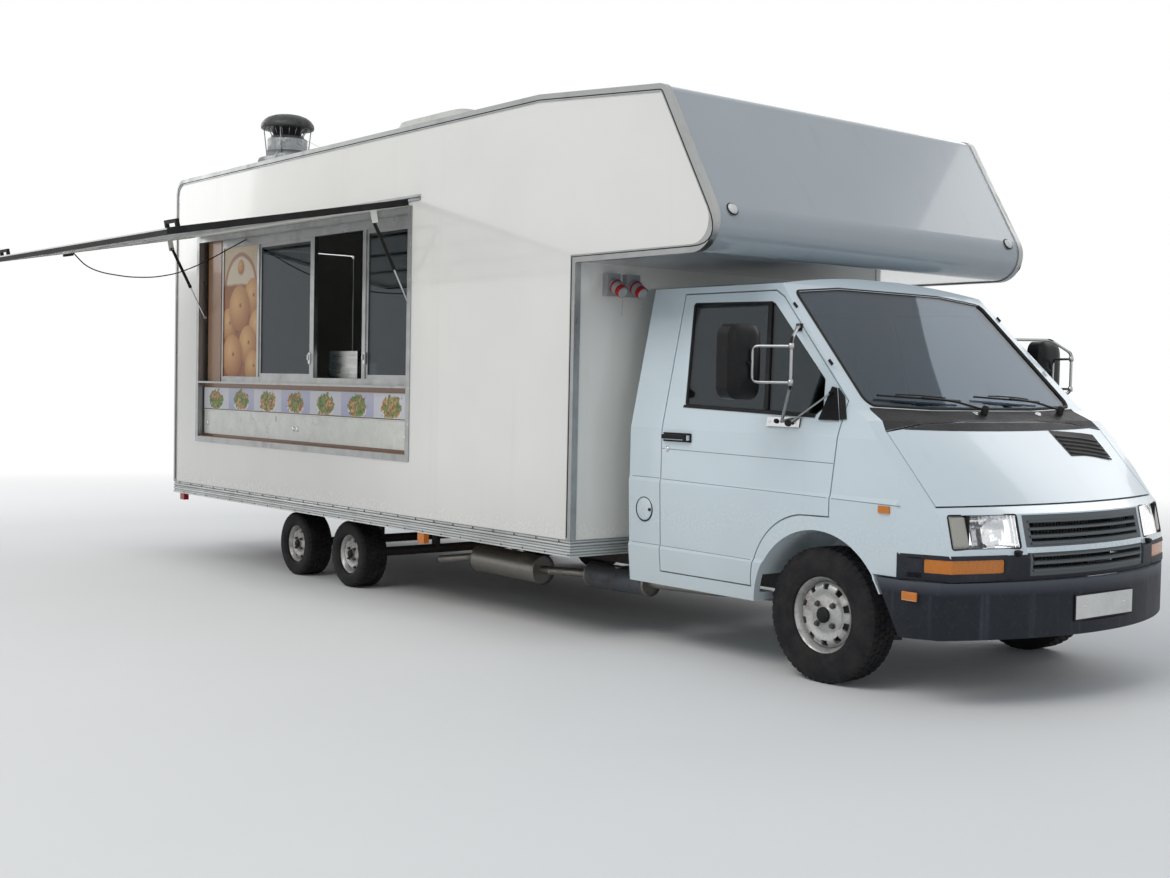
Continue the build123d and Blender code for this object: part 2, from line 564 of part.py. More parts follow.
def bend_radii(route):
    """For each inner point of a cord, 0.45 of the shorter run over the tangent of half the turn."""
    radii = []
    for before, here, after in zip(route, route[1:], route[2:]):
        run_in = Vector(*here) - Vector(*before)
        run_out = Vector(*after) - Vector(*here)
        half_turn = radians(run_in.get_angle(run_out) / 2)
        radii.append(0.45 * min(run_in.length, run_out.length) / tan(half_turn))
    return radii


cable_radii = bend_radii(CABLE_ROUTE)
with BuildPart() as lamp_cable:
    with BuildLine() as route:
        FilletPolyline(*CABLE_ROUTE, radius=cable_radii)
    with BuildSketch(Plane(origin=route.line @ 0, z_dir=route.line % 0)):
        Circle(CABLE_DIA / 2)
    sweep(path=route.line)
print("cable radii", [round(r) for r in cable_radii])
print("cable volume over section times length",
      lamp_cable.part.volume / (pi * CABLE_DIA ** 2 / 4 * sum(edge.length for edge in route.edges())))
keep(lamp_cable.part, "lamp_cable")

# Kitchen inside, as far as it shows through the window

SERVING_X = (-5980.0, -3060.0)
SERVING_Y = (93.0 - BODY_HALF, -560.0)
SERVING_TOP = 940.0
COOKING_X = (-6200.0, -2200.0)
COOKING_Y = 560.0                   # front of the cooking line
COOKING_TOP = 1440.0
WORKTOP = 40.0
SPLASHBACK = 12.0
CUPBOARD_X = -3600.0
CUPBOARD_Y = 800.0
CUPBOARD_Z = (1950.0, 2380.0)
WELL_ROOM = 5.0
# machines on the serving counter: x, y and top
MACHINES = (
    ((-4330.0, -3960.0), (-1040.0, -700.0), 1560.0),    # coffee machine
    ((-3900.0, -3720.0), (-1040.0, -800.0), 1480.0),    # till
)
with BuildPart() as kitchen_units:
    # serving counter under the window
    slab(SERVING_X, SERVING_Y, (BODY_FLOOR, SERVING_TOP - WORKTOP))
    slab((SERVING_X[0] - 20, SERVING_X[1] + 20), (SERVING_Y[0] - 2, SERVING_Y[1] + 20),
         (SERVING_TOP - WORKTOP, SERVING_TOP))
    # cooking line along the far wall with its splashback and wall cupboards
    back = INNER_HALF - SPLASHBACK
    slab(COOKING_X, (COOKING_Y, back), (BODY_FLOOR, COOKING_TOP - WORKTOP))
    slab(COOKING_X, (COOKING_Y - 30, back), (COOKING_TOP - WORKTOP, COOKING_TOP))
    slab(COOKING_X, (back, INNER_HALF), (COOKING_TOP, CUPBOARD_Z[1]))
    slab((CUPBOARD_X, COOKING_X[1]), (CUPBOARD_Y, back), CUPBOARD_Z)
    # room for the boxes over the wheels
    around = WELL_SHEET + WELL_ROOM
    for side in (-1, 1):
        slab((WELL_X[0] - around, WELL_X[1] + around), (side * (WELL_Y[0] - around), side * BODY_HALF),
             (BODY_FLOOR, WELL_TOP + around), mode=Mode.SUBTRACT)
    for x, y, top in MACHINES:
        slab(x, y, (SERVING_TOP, top))
keep(kitchen_units.part, "kitchen_units")

# Chimney, roof lights and dome

CHIMNEY = (-5620.0, -700.0)
ROOF_LIGHT = (-3220.0, -720.0)
DOME = (-6130.0, -960.0)


def roof_plane(x, y):
    """A plane on the roof's outside behind the kink, with z square to the roof."""
    rise = (ROOF_KINK[1] - ROOF_REAR) / (ROOF_KINK[0] - BODY_REAR)
    return Plane(origin=(x, y, ROOF_REAR + (x - BODY_REAR) * rise), x_dir=(1, 0, rise), z_dir=(-rise, 0, 1))


FAN_BOX_X = (-190.0, 260.0)
FAN_BOX_HALF = 170.0
# the chimney's turned outline above its fan box: radius and height over the roof
CHIMNEY_OUTLINE = ((0.0, 170.0), (120.0, 170.0), (120.0, 320.0), (200.0, 384.0), (200.0, 430.0),
                   (90.0, 480.0), (0.0, 480.0))
ROOF_LIGHT_SIZE = (800.0, 600.0, 130.0)
ROOF_LIGHT_ROUND = 35.0
DOME_OUTLINE = ((0.0, SEAT), (170.0, SEAT), (170.0, 20.0), (155.0, 20.0), (70.0, 80.0), (0.0, 80.0))


def turned(outline):
    """A solid turned about z from the half outline, given as radius and height."""
    with BuildSketch(Plane.XZ) as section:
        with BuildLine():
            Polyline(*outline, close=True)
        make_face()
    revolve(section.sketch, axis=Axis.Z)


with BuildPart() as chimney_form:
    # fan box on the roof, its round neck, and the mushroom cap over it
    slab(FAN_BOX_X, (-FAN_BOX_HALF, FAN_BOX_HALF), (SEAT, CHIMNEY_OUTLINE[0][1]))
    turned(CHIMNEY_OUTLINE)
chimney = roof_plane(*CHIMNEY).location * chimney_form.part
keep(chimney, "chimney")

with BuildPart() as roof_light:
    slab((-ROOF_LIGHT_SIZE[0] / 2, ROOF_LIGHT_SIZE[0] / 2), (-ROOF_LIGHT_SIZE[1] / 2, ROOF_LIGHT_SIZE[1] / 2),
         (SEAT, ROOF_LIGHT_SIZE[2]))
    fillet(roof_light.edges().group_by(Axis.Z)[-1], ROOF_LIGHT_ROUND)
with BuildPart() as dome:
    turned(DOME_OUTLINE)
with BuildPart() as roof_lights:
    add(roof_plane(*ROOF_LIGHT).location * roof_light.part)
    add(roof_plane(*DOME).location * dome.part)
keep(roof_lights.part, "roof_lights")

# Power inlets under the overcab

INLET_Y = (-990.0, -850.0)
INLET_BOX = (40.0, 90.0, 120.0)
INLET_Z = OVERCAB_UNDER - 110       # middle of the boxes
# each socket's axis from its box: x, z and diameter of the run that starts there
INLET_SOCKET = ((40.0, 0.0, 70.0), (90.0, -30.0, 60.0), (112.0, -43.0, 0.0))
with BuildPart() as power_inlets:
    for y in INLET_Y:
        slab((BODY_FRONT, BODY_FRONT + INLET_BOX[0]), (y - INLET_BOX[1] / 2, y + INLET_BOX[1] / 2),
             (INLET_Z - INLET_BOX[2] / 2, INLET_Z + INLET_BOX[2] / 2))
        for (x, z, diameter), (next_x, next_z, _) in zip(INLET_SOCKET, INLET_SOCKET[1:]):
            rod((BODY_FRONT + x, y, INLET_Z + z), (BODY_FRONT + next_x, y, INLET_Z + next_z), diameter)
keep(power_inlets.part, "power_inlets")


# Cab body: side sections lofted across the width, trimmed to the front view and to the plan

def front_view(inset=0.0):
    """The cab's outline in front view, its sides and its crowned roof."""
    with BuildSketch(Plane.YZ) as outline:
        with BuildLine():
            right = Polyline(*[(-y, z) for y, z in CAB_SIDE])
            left = Polyline(*[(y, z) for y, z in CAB_SIDE])
            ThreePointArc(left @ 1, (0, ROOF_CROWN), right @ 1)
            Line(left @ 0, right @ 0)
        make_face()
        if inset:
            offset(amount=-inset, kind=Kind.INTERSECTION)
    return outline.sketch_local


def cab_form(inset=0.0):
    """The cab's whole form, or the form at a depth under its surface."""
    with BuildPart() as form:
        for y, share in ((-CAB_HALF, 1.0), (0.0, 0.0), (CAB_HALF, 1.0)):
            with BuildSketch(Plane.XZ.offset(-y)):
                with BuildLine():
                    Polyline(*[(x - share * back, z) for x, z, back in CAB_SECTION], close=True)
                make_face()
                if inset:
                    offset(amount=-inset, kind=Kind.INTERSECTION)
        loft()
        with BuildSketch(Plane.YZ.offset(-1400)):
            add(front_view(inset))
        extrude(amount=2500, mode=Mode.INTERSECT)
        with BuildSketch(Plane.XY.offset(200)):
            with BuildLine():
                Polyline((CAB_REAR, -CAB_HALF - 20), (CORNER_BACK[0], -CAB_HALF), (CORNER_BACK[1], -CORNER_IN),
                         (1000, -700), (1000, 700), (CORNER_BACK[1], CORNER_IN), (CORNER_BACK[0], CAB_HALF),
                         (CAB_REAR, CAB_HALF + 20), close=True)
            make_face()
            if inset:
                offset(amount=-inset, kind=Kind.INTERSECTION)
        extrude(amount=1900, mode=Mode.INTERSECT)
    return form.part


outer = cab_form()
hollow = cab_form(CAB_WALL)


def skin(depth_out, depth_in):
    """The layer of the cab between two depths under its surface."""
    with BuildPart() as layer:
        add(cab_form(depth_out))
        add(cab_form(depth_in), mode=Mode.SUBTRACT)
    return layer.part


def side_layer(side, outline, depth):
    """The outer layer of one of the cab's sides, to a depth, inside an outline in side view."""
    with BuildPart() as layer:
        with BuildSketch(Plane.YZ.offset(-1400)):
            add(front_view(-50))
            add(front_view(depth), mode=Mode.SUBTRACT)
        extrude(amount=2500)
        with BuildSketch(Plane.XZ.offset(-side * SIDE_FROM)):
            add(outline)
        extrude(amount=-side * 400, mode=Mode.INTERSECT)
    return layer.part


SIDE_FROM = 700.0                   # the sides' outlines reach from here outward
# outlines in side view: x, z
DOOR_REAR = -1046.0
DOOR_FOOT = 412.0
DOOR_HEAD = 1845.0


# the door's front edge from its head down to the wheel arch, then the arch
DOOR_FRONT = ((-405.0, DOOR_HEAD), (-345.0, 1812.0), (163.0, 1318.0), (140.0, 1200.0), (100.0, 874.0),
              (97.0, 787.0), (-74.0, 783.0))
DOOR_ARCH = ((-74.0, 783.0), (-300.0, 670.0), (-396.0, DOOR_FOOT))
DOOR_WINDOW = ((-905.0, 1272.0), (-975.0, 1800.0), (-420.0, 1792.0), (-395.0, 1780.0), (5.0, 1415.0),
               (22.0, 1280.0), (-20.0, 1246.0))
WINDOW_CORNER = 18.0


def door_outline(grow=0.0):
    with BuildSketch(Plane.XZ) as outline:
        with BuildLine():
            Polyline(DOOR_ARCH[2], (DOOR_REAR, DOOR_FOOT), (DOOR_REAR, DOOR_HEAD), *DOOR_FRONT)
            ThreePointArc(*DOOR_ARCH)
        make_face()
        if grow:
            offset(amount=grow, kind=Kind.INTERSECTION)
    return outline.sketch_local


def door_window():
    with BuildSketch(Plane.XZ) as outline:
        with BuildLine():
            Polyline(*DOOR_WINDOW, close=True)
        make_face()
        fillet(outline.vertices(), WINDOW_CORNER)
    return outline.sketch_local


def front_outline(points, grow=0.0, radius=0.0):
    """A closed outline in front view, from half of its points, y and z, mirrored."""
    with BuildSketch(Plane.YZ) as outline:
        with BuildLine():
            Polyline(*points, *[(-y, z) for y, z in reversed(points)], close=True)
        make_face()
        if radius:
            fillet(outline.vertices(), radius)
        if grow:
            offset(amount=grow, kind=Kind.INTERSECTION)
    return outline.sketch_local


SCREEN_CORNER = 40.0
SCREEN = ((400.0, 1284.0), (812.0, 1298.0), (737.0, 1838.0), (400.0, 1868.0))
COWL = ((300.0, 1234.0), (600.0, 1221.0), (864.0, 1189.0), (812.0, 1290.0), (400.0, 1276.0))
BONNET = ((860.0, 872.0), (857.0, 1182.0), (600.0, 1214.0), (300.0, 1227.0))
# lower inner and upper outer corners in front view: y, z
LAMP_YZ = ((500.0, 690.0), (845.0, 836.0))
INDICATOR_YZ = ((600.0, 585.0), (905.0, 645.0))
LAMP_BODY = (2.0, 90.0)             # front and back of each lamp under the cab's surface
INDICATOR_BODY = (1.0, 45.0)
GRILLE_BODY = (3.0, 50.0)
GRILLE_HALF = 470.0
GRILLE_Z = (560.0, 832.0)
# air slots of the upper and lower grille: middle height, half width, height
GRILLE_SLOTS = ((786.0, 430.0, 20.0), (754.0, 430.0, 20.0), (722.0, 430.0, 14.0), (640.0, 440.0, 18.0),
                (606.0, 440.0, 18.0))

FLANGE_WIDTH = 18.0
GUTTER_X = 420.0                    # the bonnet's gutter starts ahead of its hinge
GUTTER_FOOT = 900.0
GUTTER_SHEET = 6.0
bonnet_flange = skin(BONNET_THICK + SEAT, BONNET_THICK + SEAT + GUTTER_SHEET)

with BuildPart() as cab_shell:
    add(outer)
    # cabin, engine bay and the open underside
    with BuildPart(mode=Mode.PRIVATE) as cabin:
        add(hollow)
        slab((-1400, FIREWALL), (-1000, 1000), (CAB_FLOOR, 2000), mode=Mode.INTERSECT)
    with BuildPart(mode=Mode.PRIVATE) as bay:
        add(hollow)
        slab((FIREWALL + LINER, 1000), (-1000, 1000), (300, 2000), mode=Mode.INTERSECT)
    with BuildPart(mode=Mode.PRIVATE) as under:
        add(hollow)
        slab((-1400, FIREWALL + LINER), (-1000, 1000), (300, CAB_FLOOR - FLOOR_PAN), mode=Mode.INTERSECT)
    add(cabin.part, mode=Mode.SUBTRACT)
    add(bay.part, mode=Mode.SUBTRACT)
    add(under.part, mode=Mode.SUBTRACT)
    slab((-1230, 1000), (-800, 800), (300, 400), mode=Mode.SUBTRACT)
    slab((-1300, -1200), (-800, 800), (300, 470), mode=Mode.SUBTRACT)
    slab((350, 1000), (-1000, 1000), (300, BUMPER_TOP + 10), mode=Mode.SUBTRACT)
    # wheel arches and their housings
    for side in (-1, 1):
        with BuildSketch(Plane.XZ.offset(-side * LINER_INNER)):
            with Locations((ARCH_X, FRONT_WHEEL["tyre"])):
                Circle(ARCH_R)
        extrude(amount=-side * 500, mode=Mode.SUBTRACT)
    for side in (-1, 1):
        with BuildPart(mode=Mode.PRIVATE) as housing:
            with BuildSketch(Plane.XZ.offset(-side * (LINER_INNER - LINER))):
                with Locations((ARCH_X, FRONT_WHEEL["tyre"])):
                    Circle(ARCH_R + LINER)
            extrude(amount=-side * 500)
            with BuildSketch(Plane.XZ.offset(-side * LINER_INNER)):
                with Locations((ARCH_X, FRONT_WHEEL["tyre"])):
                    Circle(ARCH_R)
            extrude(amount=-side * 500, mode=Mode.SUBTRACT)
            slab((-1000, 1000), (-1100, 1100), (470, 1200), mode=Mode.INTERSECT)
            add(outer, mode=Mode.INTERSECT)
        add(housing.part)
    # doors, glass, cowl, bonnet, lamps and grille each leave their opening
    # and each door a flange behind it, which carries its seal
    for side in (-1, 1):
        add(side_layer(side, door_outline(PANEL_GAP / 2), DOOR_THICK + SEAT), mode=Mode.SUBTRACT)
        with BuildSketch(Plane.XZ.offset(-side * SIDE_FROM)):
            add(door_outline(-FLANGE_WIDTH))
        extrude(amount=-side * 400, mode=Mode.SUBTRACT)
    for sketch, start in ((front_outline(SCREEN, radius=SCREEN_CORNER), -520), (front_outline(COWL), 100),
                          (front_outline(BONNET, PANEL_GAP), FIREWALL + LINER)):
        with BuildSketch(Plane.YZ.offset(start)):
            add(sketch)
        extrude(amount=1200, mode=Mode.SUBTRACT)
    for side in (-1, 1):
        for limits in (LAMP_YZ, INDICATOR_YZ):
            slab((FIREWALL + 60, 1000), (side * limits[0][0], side * limits[1][0]),
                 (limits[0][1], limits[1][1]), mode=Mode.SUBTRACT)
    slab((FIREWALL + 60, 1000), (-GRILLE_HALF, GRILLE_HALF), GRILLE_Z, mode=Mode.SUBTRACT)
    # the gutter that the bonnet shuts against
    with BuildPart(mode=Mode.PRIVATE) as gutter:
        add(bonnet_flange)
        with BuildSketch(Plane.YZ.offset(GUTTER_X)):
            add(front_outline(BONNET, PANEL_GAP + 2))
            add(front_outline(BONNET, -FLANGE_WIDTH), mode=Mode.SUBTRACT)
        extrude(amount=600, mode=Mode.INTERSECT)
        slab((GUTTER_X, 1000), (-1000, 1000), (GUTTER_FOOT, 1300), mode=Mode.INTERSECT)
    add(gutter.part)
keep(cab_shell.part, "cab_shell")


DOOR_GRIP_X = (-1018.0, -832.0)
DOOR_GRIP_Z = (1096.0, 1122.0)
GRIP_PROUD = 16.0
GLASS_DEPTH = 10.0                  # of the door glass under the cab's surface
SCREEN_DEPTH = 4.0
for side, name in ((-1, "right"), (1, "left")):
    with BuildPart() as door:
        add(outer)
        add(side_layer(side, door_outline(-PANEL_GAP / 2), DOOR_THICK), mode=Mode.INTERSECT)
        with BuildSketch(Plane.XZ.offset(-side * SIDE_FROM)):
            add(door_window())
        extrude(amount=-side * 400, mode=Mode.SUBTRACT)
        slab(DOOR_GRIP_X, (side * (CAB_HALF + GRIP_PROUD), side * (CAB_HALF - 10)), DOOR_GRIP_Z)
    keep(door.part, f"door_{name}")
    with BuildPart() as glass:
        add(cab_form(GLASS_DEPTH))
        add(cab_form(GLASS_DEPTH + GLASS), mode=Mode.SUBTRACT)
        with BuildSketch(Plane.XZ.offset(-side * SIDE_FROM)):
            add(door_window())
        extrude(amount=-side * 400, mode=Mode.INTERSECT)
    keep(glass.part, f"door_{name}_glass")

with BuildPart() as windscreen:
    add(cab_form(SCREEN_DEPTH))
    add(cab_form(SCREEN_DEPTH + GLASS), mode=Mode.SUBTRACT)
    with BuildSketch(Plane.YZ.offset(-520)):
        add(front_outline(SCREEN, radius=SCREEN_CORNER))
    extrude(amount=1200, mode=Mode.INTERSECT)
keep(windscreen.part, "windscreen")

with BuildPart() as cowl:
    add(outer)
    add(cab_form(BONNET_THICK), mode=Mode.SUBTRACT)
    with BuildSketch(Plane.YZ.offset(100)):
        add(front_outline(COWL))
    extrude(amount=1200, mode=Mode.INTERSECT)
keep(cowl.part, "cowl")

with BuildPart() as bonnet:
    add(outer)
    add(cab_form(BONNET_THICK), mode=Mode.SUBTRACT)
    with BuildSketch(Plane.YZ.offset(FIREWALL + LINER + PANEL_GAP)):
        add(front_outline(BONNET))
    extrude(amount=1200, mode=Mode.INTERSECT)
keep(bonnet.part, "bonnet")



def lamp_pair(corners, body):
    """A lamp on each side of the nose, seated in its opening, given by two corners in front view."""
    (low_y, low_z), (high_y, high_z) = corners
    with BuildPart() as lamps:
        add(skin(*body))
        with BuildSketch(Plane.YZ.offset(NOSE_FROM)):
            for side in (-1, 1):
                with Locations((side * (low_y + high_y) / 2, (low_z + high_z) / 2)):
                    Rectangle(high_y - low_y - 2 * SEAT, high_z - low_z - 2 * SEAT)
        extrude(amount=900, mode=Mode.INTERSECT)
    return lamps.part


NOSE_FROM = FIREWALL + 100          # lamps and grille are cut out of the skin ahead of this
headlights = lamp_pair(LAMP_YZ, LAMP_BODY)
keep(headlights, "headlights")

with BuildPart() as grille:
    add(skin(*GRILLE_BODY))
    with BuildSketch(Plane.YZ.offset(NOSE_FROM)):
        with Locations((0, (GRILLE_Z[0] + GRILLE_Z[1]) / 2)):
            Rectangle(2 * (GRILLE_HALF - SEAT), GRILLE_Z[1] - GRILLE_Z[0] - 2 * SEAT)
        for z, half, height in GRILLE_SLOTS:
            with Locations((0, z)):
                Rectangle(2 * half, height, mode=Mode.SUBTRACT)
    extrude(amount=900, mode=Mode.INTERSECT)
keep(grille.part, "grille")

REPEATER_X = (390.0, 450.0)
REPEATER_Z = (830.0, 862.0)
MARKER_X = (-2905.0, -2835.0)
MARKER_DROP = 62.0                  # of the markers under the skirt
MARKER_DEPTH = 36.0
with BuildPart() as side_markers:
    # repeater on the fender, marker under the skirt
    for side in (-1, 1):
        slab(REPEATER_X, (side * (CAB_HALF - 12), side * (CAB_HALF + 8)), REPEATER_Z)
    add(outer, mode=Mode.SUBTRACT)
    for side in (-1, 1):
        slab(MARKER_X, (side * (SKIRT_HALF - MARKER_DEPTH), side * SKIRT_HALF),
             (SKIRT_BOTTOM - MARKER_DROP, SKIRT_BOTTOM))

with BuildPart() as amber_lamps:
    add(lamp_pair(INDICATOR_YZ, INDICATOR_BODY))
    add(side_markers.part)
keep(amber_lamps.part, "amber_lamps")

BUMPER_END = 385.0
# each corner in plan, outside and inside: x and y where it bends
BUMPER_OUTSIDE = ((560.0, BUMPER_HALF), (690.0, BUMPER_HALF - 58))
BUMPER_INSIDE = ((545.0, BUMPER_HALF - BUMPER_THICK), (655.0, BUMPER_HALF - 93))
BUMPER_RAKE = ((545.0, BUMPER_BOTTOM - 50), (380.0, BUMPER_TOP + 14))
PLATE_HALF = 265.0
PLATE_Z = (355.0, 482.0)
PLATE_DEPTH = 12.0


def bumper_line(bends, reach, front):
    """The bumper's outside or inside in plan, from its right end round to its left."""
    across = [(x, -y) for x, y in bends]
    right = Polyline((BUMPER_END, -reach), *across)
    left = Polyline((BUMPER_END, reach), *bends)
    ThreePointArc(right @ 1, (front, 0), left @ 1)


with BuildPart() as bumper:
    with BuildSketch(Plane.XY.offset(BUMPER_BOTTOM)):
        with BuildLine():
            bumper_line(BUMPER_OUTSIDE, BUMPER_HALF, BUMPER_FRONT)
            bumper_line(BUMPER_INSIDE, BUMPER_HALF - BUMPER_THICK, BUMPER_FRONT - BUMPER_THICK)
            for side in (-1, 1):
                Line((BUMPER_END, side * BUMPER_HALF), (BUMPER_END, side * (BUMPER_HALF - BUMPER_THICK)))
        make_face()
    extrude(amount=BUMPER_TOP - BUMPER_BOTTOM)
    # the ends slope forward towards the bottom
    with BuildSketch(Plane.XZ):
        with BuildLine():
            Polyline((300, BUMPER_RAKE[0][1]), *BUMPER_RAKE, (300, BUMPER_RAKE[1][1]), close=True)
        make_face()
    extrude(amount=1200, both=True, mode=Mode.SUBTRACT)
    # number plate recess
    slab((BUMPER_FRONT - PLATE_DEPTH, BUMPER_FRONT + 30), (-PLATE_HALF, PLATE_HALF), PLATE_Z,
         mode=Mode.SUBTRACT)
keep(bumper.part, "bumper")

# Mirrors on tube arms, each with its plate on the door and a stay to the black corner plate

MIRROR_HEAD = (-240.0, 1215.0, 1487.0)
MIRROR_SIZE = (70.0, 210.0, 346.0)
MIRROR_ROUND = 60.0
MIRROR_TUBE = 14.0
BRACKET_TUBE = 12.0
MIRROR_BEND = 30.0
MIRROR_BALL = 34.0
POLE_CLAMP = (-212.0, 843.0, 1660.0)
CLAMP_PAD = 36.0
POLE_FOOT = (-215.0, 941.0, 1211.0)
POLE = (POLE_CLAMP, (-60.0, 1010.0, 1660.0), (0.0, 1120.0, 1590.0), (0.0, 1120.0, 1380.0), POLE_FOOT)
BRACKET = ((0.0, 1120.0, 1560.0), (-165.0, 1200.0, 1560.0), (-165.0, 1200.0, 1395.0), (0.0, 1120.0, 1395.0))
BALL = (-165.0, 1200.0, 1478.0)
FOOT_PLATE_X = (-309.0, -103.0)
FOOT_PLATE_Z = (1190.0, 1232.0)
FOOT_PLATE_THICK = 9.0
STAY = ((-150.0, 950.0, 1211.0), (66.0, 920.0, 1352.0))
STAY_DIA = 8.0
STAY_BOSS = 16.0
STAY_BOSS_LEN = (-14.0, 7.0)                    # from the stay's end, inward into its plate and outward
STAY_PLATE = ((58.0, 1382.0), (84.0, 1376.0), (128.0, 1228.0), (8.0, 1228.0))

for side, name in ((-1, "right"), (1, "left")):
    with BuildPart() as mirror_arm:
        # the foot plate and the corner plate lie on the leaning door
        add(cab_form(-FOOT_PLATE_THICK))
        add(cab_form(-SEAT), mode=Mode.SUBTRACT)
        with BuildSketch(Plane.XZ.offset(-700)):
            with Locations((sum(FOOT_PLATE_X) / 2, sum(FOOT_PLATE_Z) / 2)):
                Rectangle(FOOT_PLATE_X[1] - FOOT_PLATE_X[0], FOOT_PLATE_Z[1] - FOOT_PLATE_Z[0])
            with Locations((POLE_CLAMP[0], POLE_CLAMP[2])):
                Rectangle(CLAMP_PAD, CLAMP_PAD)
            with BuildLine():
                Polyline(*STAY_PLATE, close=True)
            make_face()
        extrude(amount=-400, mode=Mode.INTERSECT)
        with BuildPart(mode=Mode.PRIVATE) as head:
            with Locations(MIRROR_HEAD):
                Box(*MIRROR_SIZE)
            fillet(head.edges().filter_by(Axis.X), MIRROR_ROUND)
        add(head.part)
        rod(BALL, MIRROR_HEAD, MIRROR_BALL)
        rod(*STAY, STAY_DIA)
        for x, y, z in STAY:
            rod((x, y + STAY_BOSS_LEN[0], z), (x, y + STAY_BOSS_LEN[1], z), STAY_BOSS)
        bent_tube(POLE, MIRROR_BEND, MIRROR_TUBE)
        bent_tube(BRACKET, MIRROR_BEND, BRACKET_TUBE)
    keep(mirrored(mirror_arm.part, side), f"mirror_{name}")

# Cab inside

SEATS = ((430.0, 500.0), (-310.0, 920.0))       # middle from the mid-plane, width
SEAT_BOX_X = (-980.0, -480.0)
CUSHION_X = (-1000.0, -450.0)
CUSHION_Z = (800.0, 930.0)
BACKREST = ((-1010.0, 900.0), (-880.0, 900.0), (-1010.0, 1520.0), (-1100.0, 1520.0))
with BuildPart() as seats:
    for y, width in SEATS:
        across = (y - width / 2, y + width / 2)
        slab(SEAT_BOX_X, across, (CAB_FLOOR, CUSHION_Z[0]))
        slab(CUSHION_X, across, CUSHION_Z)
        with BuildSketch(Plane.XZ.offset(-across[0])):
            with BuildLine():
                Polyline(*BACKREST, close=True)
            make_face()
        extrude(amount=-width)
keep(seats.part, "seats")

DASH_OUTLINE = ((295.0, 700.0), (295.0, 1205.0), (200.0, 1240.0), (0.0, 1225.0), (-70.0, 1150.0),
                (-40.0, 980.0), (120.0, 800.0), (180.0, 700.0))
COLUMN = ((60.0, SEATS[0][0], 1000.0), (-120.0, SEATS[0][0], 1210.0))
COLUMN_DIA = 60.0
STEERING_WHEEL = 200.0
WHEEL_GRIP = 20.0
SPOKE = 40.0
with BuildPart() as dashboard:
    with BuildSketch(Plane.XZ):
        with BuildLine():
            Polyline(*DASH_OUTLINE, close=True)
        make_face()
    extrude(amount=CAB_HALF, both=True)
    add(hollow, mode=Mode.INTERSECT)
    rod(*COLUMN, COLUMN_DIA)
    with BuildSketch(Plane(origin=COLUMN[1], z_dir=Vector(*COLUMN[1]) - Vector(*COLUMN[0]))):
        Circle(STEERING_WHEEL)
        Circle(STEERING_WHEEL - WHEEL_GRIP, mode=Mode.SUBTRACT)
        Rectangle(2 * STEERING_WHEEL - WHEEL_GRIP, SPOKE)
    extrude(amount=WHEEL_GRIP)
keep(dashboard.part, "dashboard")

# Chassis

with BuildPart() as chassis:
    for side in (-1, 1):
        slab(RAIL_X, (side * (RAIL_Y - RAIL_W / 2), side * (RAIL_Y + RAIL_W / 2)), RAIL_Z)
        slab((RAIL_X[0] - 10, RAIL_X[1] + 10),
             (side * (RAIL_Y - RAIL_W / 2 - 1), side * (RAIL_Y + RAIL_W / 2 - RAIL_SHEET)),
             (RAIL_Z[0] + RAIL_SHEET, RAIL_Z[1] - RAIL_SHEET), mode=Mode.SUBTRACT)
    cross_half = RAIL_Y + RAIL_W / 2 - RAIL_SHEET
    for x in CROSS_X:
        slab((x - CROSS_WIDTH / 2, x + CROSS_WIDTH / 2), (-cross_half, cross_half),
             (RAIL_Z[0] + 20, RAIL_Z[1] - 30))
    # bearers under the box floor
    for x in BEARER_X:
        slab((x - BEARER_WIDTH / 2, x + BEARER_WIDTH / 2), (-FLOOR_HALF + 10, FLOOR_HALF - 10),
             (RAIL_Z[1], FLOOR_UNDER))
    # mounts under the cab floor, and the bumper's brackets
    for side in (-1, 1):
        for x in CAB_MOUNT_X:
            slab((x - CAB_MOUNT / 2, x + CAB_MOUNT / 2),
                 (side * (RAIL_Y - RAIL_W / 2), side * (RAIL_Y + RAIL_W / 2)),
                 (RAIL_Z[1], CAB_FLOOR - FLOOR_PAN - SEAT))
        slab((RAIL_X[1], BUMPER_FRONT - BUMPER_THICK - 25),
             (side * BUMPER_BRACKET_Y[0], side * BUMPER_BRACKET_Y[1]), BUMPER_BRACKET_Z)
    add(bumper.part, mode=Mode.SUBTRACT)
keep(chassis.part, "chassis")

ENGINE_X = (320.0, 690.0)
ENGINE_HALF = 230.0
ENGINE_Z = (420.0, 840.0)
with BuildPart() as engine:
    slab(ENGINE_X, (-ENGINE_HALF, ENGINE_HALF), ENGINE_Z)
keep(engine.part, "engine")


# Axles, knuckles and wheels

